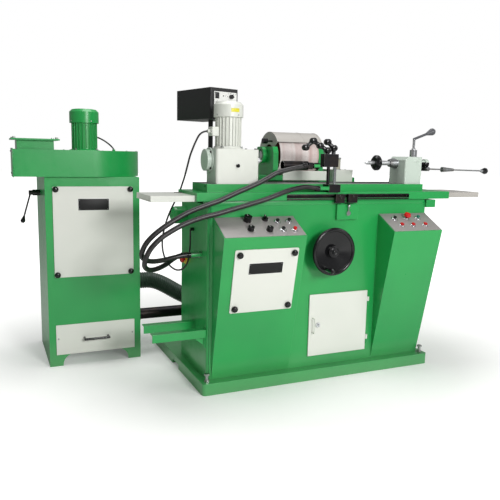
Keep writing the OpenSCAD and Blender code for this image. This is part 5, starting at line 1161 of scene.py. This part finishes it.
class GRINDER_OT_dress_motors(bpy.types.Operator):
    """Adds grilles, lids, bolts and labels to the workhead motor and the blower motor"""

    bl_idname = "grinder.dress_motors"
    bl_label = "Dress the motors"

    def execute(self, context):
        strips = [
            aimed(mm(-497, -285, 1383) + out * mm(72.6), out)
            for out in (heading(-98 + 7 * i) for i in range(5))
        ]
        corners = [(across, up) for across in (-19, 19) for up in (-15, 15)]
        assemble(
            "workhead_motor_trim", ["white_enamel", "grey_nylon", "zinc_plate", "yellow_film"],
            "table",
            motor_trim((-497, -285), 1197, 14, 140, 73, 73, 72) + [
                (block(48, 40, 3, 1.2), facing(LEFT, [(-589, -285, 1281)]), 0),
                (domed_screw(mm(6)),
                 facing(LEFT, [(-591.9, -285 + y, 1281 + z) for y, z in corners]), 2),
                (block(9.4, 18, 0.9), strips, 3),
            ],
        )
        assemble(
            "blower_motor_trim", ["green_enamel", "black_abs", "zinc_plate"],
            "machine",
            motor_trim((-1079, 476), 1176, 7, 145, 81, 76, 80) + [
                (block(48, 40, 3, 1.2), facing(BACK, [(-1079, 574, 1255.5)]), 0),
                (domed_screw(mm(6)),
                 facing(BACK, [(-1079 + x, 576.9, 1255.5 + z) for x, z in corners]), 2),
            ],
        )
        return {"FINISHED"}


def blank_plate(width, height, thickness, place):
    """A blank rating plate as groups of copies: pale rim, dark field, four rivets."""
    rivets = [
        place @ Matrix.Translation(mm(x, y, 0))
        for x in (-width / 2 + 6, width / 2 - 6) for y in (-height / 2 + 6, height / 2 - 6)
    ]
    return [
        (block(width + 6, height + 6, thickness, 0.4), [place], 0),
        (block(width, height, thickness + 0.35, 0.1), [place], 1),
        (disc(1.6, thickness + 1.0, 0.4, 16), rivets, 2),
    ]


class GRINDER_OT_rivet_plates(bpy.types.Operator):
    """Rivets a blank plate to the console's cover and to the collector's"""

    bl_idname = "grinder.rivet_plates"
    bl_label = "Rivet the blank plates"

    def execute(self, context):
        thickness = context.scene.grinder_fittings.plate_thickness / MM
        spot = COVER_CENTRE + COVER_UP * mm(65.6) + COVER_OUT * mm(5.9)
        assemble(
            "blank_plates", ["white_abs", "blank_label", "zinc_plate"], "machine",
            blank_plate(178, 55, thickness, aimed(spot, COVER_OUT, COVER_UP))
            + blank_plate(161, 61, thickness, aimed(mm(-1079.5, 195.1, 888.5), FRONT)),
        )
        return {"FINISHED"}


class GRINDER_OT_drive_screws(bpy.types.Operator):
    """Drives the bolts and screws of covers, flanges, caps and tables"""

    bl_idname = "grinder.drive_screws"
    bl_label = "Drive the screws"

    def execute(self, context):
        fittings = context.scene.grinder_fittings
        rim = [Vector((-1079, 476, 1175.8)) + heading(24 + 36 * i) * 290 for i in range(10)]
        head_face = [
            (-599.8, -285 + 56 * out.x, 1142 + 56 * out.y)
            for out in (heading(45 + 90 * i) for i in range(4))
        ]
        spout = [(-1367 + dx, 276 + dy, 1229.6) for dx in (-103, 103) for dy in (-103, 103)]
        rows = (
            ("collector_bolts", "machine", facing(UP, rim), facing(UP, spout)),
            ("blower_end_screws", "machine", facing(LEFT, [
                (-1480.0, y, z) for y in (184, 276, 368) for z in (1048, 1164)
            ]), []),
            ("drawer_screws", "drawer_body", facing(FRONT, [
                (x, 196.2, 156) for x in (-1281, -877)
            ]), []),
            ("apron_screws", "machine", facing(FRONT, [
                (x, -418.8, z) for z in (916, 856) for x in (70, 180)
            ]), []),
            ("belt_guard_screws", "wheel_head", facing(RIGHT, [
                (204.8, y, z) for y, z in (
                    (-60, 1195), (20, 1220), (60, 1120), (170, 1078), (260, 1205), (280, 1090),
                )
            ]), []),
            ("drive_box_screws", "wheel_head", facing(UP, [
                (x, y, 1095.8) for x in (243, 351) for y in (-40, 98)
            ]), []),
        )
        for name, body, pans, bolts in rows:
            assemble(name, ["zinc_plate"], body, [
                (hexagon_bolt(fittings.hex_across), bolts, 0),
                (domed_screw(fittings.screw_head), pans, 0),
            ])
        sockets = facing(LEFT, head_face) + facing(UP, [(-382, y, 1196.8) for y in (-361, -244)])
        assemble("head_screws", ["black_oxide_steel"], "table", [
            (socket_screw(mm(12)), sockets, 0),
        ])
        return {"FINISHED"}


def arc_band(radius, width, thickness, start, end, steps=40):
    """A flat band bent round the X axis at the origin, from one angle to another in degrees."""
    bm = bmesh.new()
    corners = [
        bm.verts.new(mm(x, r, 0))
        for x, r in (
            (-width / 2, radius), (width / 2, radius),
            (width / 2, radius + thickness), (-width / 2, radius + thickness),
        )
    ]
    cap = bm.faces.new(corners)
    bmesh.ops.rotate(
        bm, cent=(0, 0, 0), matrix=Matrix.Rotation(math.radians(start), 3, "X"), verts=bm.verts
    )
    bmesh.ops.spin(
        bm, geom=[cap], cent=(0, 0, 0), axis=(1, 0, 0),
        angle=math.radians(end - start), steps=steps,
    )
    bmesh.ops.remove_doubles(bm, verts=bm.verts, dist=WELD)
    bmesh.ops.contextual_create(bm, geom=corners)
    bmesh.ops.recalc_face_normals(bm, faces=bm.faces)
    return bm


class GRINDER_OT_trim_wheel_head(bpy.types.Operator):
    """Adds the hood's bands, the spindle's bearing cover and the oil cup's caps"""

    bl_idname = "grinder.trim_wheel_head"
    bl_label = "Trim the wheel head"

    def execute(self, context):
        assemble("hood_bands", ["hood_enamel"], "wheel_head", [
            (arc_band(127.6, width, 1.6, -61, 144), [Matrix.Translation(mm(x, -20, 1172))], 0)
            for x, width in ((-141, 8), (26, 5), (131, 8))
        ])
        cover = turned(
            [(24, 0), (45.6, 0), (46.6, 1.2), (46.6, 4), (45, 5.5), (36, 5.5), (33, 3), (24, 3),
             (24, 0)], 56,
        )
        assemble("bearing_cover", ["green_enamel"], "wheel_head", [
            (cover, facing(LEFT, [(-194, -20, 1172)]), 0),
        ])
        lid = turned(
            [(0, 0), (21, 0), (21.5, 1), (21.5, 7), (20, 8.5), (6, 9.5), (6, 13), (5, 14), (0, 14)],
            36,
        )
        foot = Matrix.Translation(mm(266, -85, 1096)) @ Matrix.Diagonal((1.05, 1.05, 0.5, 1.0))
        assemble("oil_cup_caps", ["zinc_plate"], "wheel_head", [
            (lid, [Matrix.Translation(mm(266, -85, 1157)), foot], 0),
        ])
        return {"FINISHED"}


class GRINDER_OT_flange_blower(bpy.types.Operator):
    """Folds the end flange of the blower housing"""

    bl_idname = "grinder.flange_blower"
    bl_label = "Flange the blower"

    def execute(self, context):
        assemble("blower_end_flange", ["green_enamel"], "machine", [
            (block(214, 148, 3, 0.8), facing(LEFT, [(-1477, 276, 1106)]), 0),
        ])
        return {"FINISHED"}


class GRINDER_OT_dress_table(bpy.types.Operator):
    """Lays the trip rail, the cover of the ways, the suction arms and the knobs' skirts"""

    bl_idname = "grinder.dress_table"
    bl_label = "Dress the table"

    def execute(self, context):
        assemble("trip_rail", ["black_oxide_steel"], "table", [
            (block(750, 7, 3, 0.8), facing(FRONT, [(137, -439, z) for z in (955.2, 976.8)]), 0),
        ])
        assemble("way_cover", ["green_enamel"], "machine", [
            (block(1278, 24, 2, 0.5), facing(FRONT, [(0, -419, 937)]), 0),
        ])
        groups = []
        for points in SUCTION_ARMS:
            places = [SUCTION_PIVOT + mm(*point) for point in points]
            for near, far in zip(places, places[1:]):
                long = (far - near).length / MM
                link = turned(
                    [(0, -9), (7, -8), (11, -3), (12.5, 2), (10.5, 8), (10.5, long - 8),
                     (12.5, long - 2), (11, long + 3), (7, long + 8), (0, long + 9)], 24,
                )
                groups.append((link, [aimed(near, far - near)], 0))
            knob = turned(
                [(0, -17), (12, -17), (15, -15), (16, -12), (16, 12), (15, 15), (12, 17), (0, 17)],
                32,
            )
            groups.append((knob, [aimed(place, FRONT) for place in places[1:]], 0))
        assemble("suction_arms", ["black_phenolic"], "table", groups)
        skirt = turned(
            [(9.5, 0), (14, 0), (15.5, 2), (16, 6), (15, 11), (12.5, 15.5), (8, 18), (0, 18.6)], 40
        )
        console = [
            (x, y, z) for x in (-538.5, -251.5) for y, z in ((-503.8, 435.6), (-560.9, 707.7))
        ]
        collector = [(x, 195, z) for x in (-1276, -882) for z in (512, 970)]
        assemble("cover_knob_skirts", ["black_phenolic"], "machine", [
            (skirt, facing(FRONT, collector) + facing(COVER_OUT, console), 0),
        ])
        return {"FINISHED"}


class GRINDER_OT_trim_handwheel(bpy.types.Operator):
    """Turns the handwheel's hub cap and grooves"""

    bl_idname = "grinder.trim_handwheel"
    bl_label = "Trim the handwheel"

    def execute(self, context):
        centre = facing(FRONT, [(15, -481, 688)])
        cap = turned(
            [(0, 16), (24, 16), (24, 18.5), (22, 20), (15, 20), (13, 18.6), (11, 18.6), (10, 22),
             (7, 24.5), (0, 25.2)], 48,
        )
        groups = [(cap, centre, 0)]
        for radius, height in ((52, 3.4), (76, 8.0)):
            ring = turned(
                [(radius - 3, height - 3), (radius - 2, height), (radius + 2, height + 0.8),
                 (radius + 3, height - 2), (radius - 3, height - 3)], 72,
            )
            groups.append((ring, centre, 0))
        assemble(
            "handwheel_cap", ["black_phenolic"], "handwheel_body", groups
        )
        return {"FINISHED"}


def lamp(name, place, target, size, power):
    """A soft rectangular studio lamp aimed at a point."""
    light = bpy.data.lights.new(name, "AREA")
    light.shape = "SQUARE"
    light.size = size
    light.energy = power
    holder = bpy.data.objects.new(name, light)
    holder.matrix_world = aimed(Vector(place), Vector(place) - Vector(target))
    bpy.context.scene.collection.objects.link(holder)


class GRINDER_OT_set_stage(bpy.types.Operator):
    """Sets the pale floor, the soft lamps and the camera at the photograph's angle"""

    bl_idname = "grinder.set_stage"
    bl_label = "Set the stage"

    def execute(self, context):
        scene = context.scene
        floor = bmesh.new()
        bmesh.ops.create_grid(floor, x_segments=1, y_segments=1, size=30.0)
        mesh = bpy.data.meshes.new("studio_floor")
        floor.to_mesh(mesh)
        floor.free()
        mesh.materials.append(bpy.data.materials["studio_floor"])
        ground = bpy.data.objects.new("studio_floor", mesh)
        scene.collection.objects.link(ground)
        world = bpy.data.worlds.new("white_studio")
        world.use_nodes = True
        sky = world.node_tree.nodes["Background"]
        seen = add_node(world.node_tree, "ShaderNodeLightPath", "Is Camera Ray")
        strength = add_node(
            world.node_tree, RANGE, "Result",
            {"Value": seen, "To Min": ROOM_LIGHT, "To Max": BACKDROP_LIGHT},
        )
        feed(world.node_tree, sky, {"Color": linear("#ffffff"), "Strength": strength})
        scene.world = world
        centre = (-0.3, -0.1, 0.7)
        lamp("key_lamp", (0.3, -5.2, 2.4), centre, 1.2, 165)
        lamp("fill_lamp", (3.8, -3.2, 3.0), centre, 2.0, 40)
        lamp("top_lamp", (-0.2, 0.2, 4.4), centre, 2.5, 85)
        view = bpy.data.cameras.new("photo_camera")
        view.sensor_fit = "HORIZONTAL"
        view.sensor_width = SENSOR_WIDTH
        view.lens = FOCAL_PIXELS * SENSOR_WIDTH / IMAGE_SIDE
        view.clip_end = 100.0
        yaw, pitch, roll = CAMERA_YAW, CAMERA_PITCH, CAMERA_ROLL
        ahead = Vector((
            math.sin(yaw) * math.cos(pitch), math.cos(yaw) * math.cos(pitch), -math.sin(pitch)
        ))
        right = Vector((math.cos(yaw), -math.sin(yaw), 0))
        above = right.cross(ahead)
        rolled = right * math.cos(roll) + above * math.sin(roll)
        upright = above * math.cos(roll) - right * math.sin(roll)
        turn = Matrix((rolled, upright, -ahead)).transposed().to_4x4()
        holder = bpy.data.objects.new("photo_camera", view)
        holder.matrix_world = Matrix.Translation(CAMERA_PLACE) @ turn
        scene.collection.objects.link(holder)
        scene.camera = holder
        scene.view_settings.view_transform = "Standard"
        return {"FINISHED"}


MAKING_ORDER = (
    GRINDER_OT_mix_finishes,
    GRINDER_OT_paint_frame,
    GRINDER_OT_lay_hoses,
    GRINDER_OT_lay_leads,
    GRINDER_OT_lay_duct,
    GRINDER_OT_fit_controls,
    GRINDER_OT_fit_control_box,
    GRINDER_OT_dress_motors,
    GRINDER_OT_rivet_plates,
    GRINDER_OT_drive_screws,
    GRINDER_OT_trim_wheel_head,
    GRINDER_OT_flange_blower,
    GRINDER_OT_dress_table,
    GRINDER_OT_trim_handwheel,
    GRINDER_OT_set_stage,
)


class GRINDER_PT_panel(bpy.types.Panel):
    """Lists the grinder's finishes, fittings and making steps"""

    bl_idname = "GRINDER_PT_panel"
    bl_label = "Cot grinding machine"
    bl_space_type = "VIEW_3D"
    bl_region_type = "UI"
    bl_category = "Grinder"

    def draw(self, context):
        column = self.layout.column()
        for group in (context.scene.grinder_finishes, context.scene.grinder_fittings):
            for key in group.__annotations__:
                column.prop(group, key)
        for step in MAKING_ORDER:
            column.operator(step.bl_idname)


CLASSES = (GRINDER_PG_finishes, GRINDER_PG_fittings, *MAKING_ORDER, GRINDER_PT_panel)


def register():
    for made in CLASSES:
        bpy.utils.register_class(made)
    bpy.types.Scene.grinder_finishes = bpy.props.PointerProperty(type=GRINDER_PG_finishes)
    bpy.types.Scene.grinder_fittings = bpy.props.PointerProperty(type=GRINDER_PG_fittings)


def unregister():
    del bpy.types.Scene.grinder_fittings
    del bpy.types.Scene.grinder_finishes
    for made in reversed(CLASSES):
        bpy.utils.unregister_class(made)


def main():
    register()
    bpy.ops.grinder.mix_finishes()
    bpy.ops.grinder.paint_frame()
    bpy.ops.grinder.lay_hoses()
    bpy.ops.grinder.lay_leads()
    bpy.ops.grinder.lay_duct()
    bpy.ops.grinder.fit_controls()
    bpy.ops.grinder.fit_control_box()
    bpy.ops.grinder.dress_motors()
    bpy.ops.grinder.rivet_plates()
    bpy.ops.grinder.drive_screws()
    bpy.ops.grinder.trim_wheel_head()
    bpy.ops.grinder.flange_blower()
    bpy.ops.grinder.dress_table()
    bpy.ops.grinder.trim_handwheel()
    bpy.ops.grinder.set_stage()


if __name__ == "__main__":
    main()
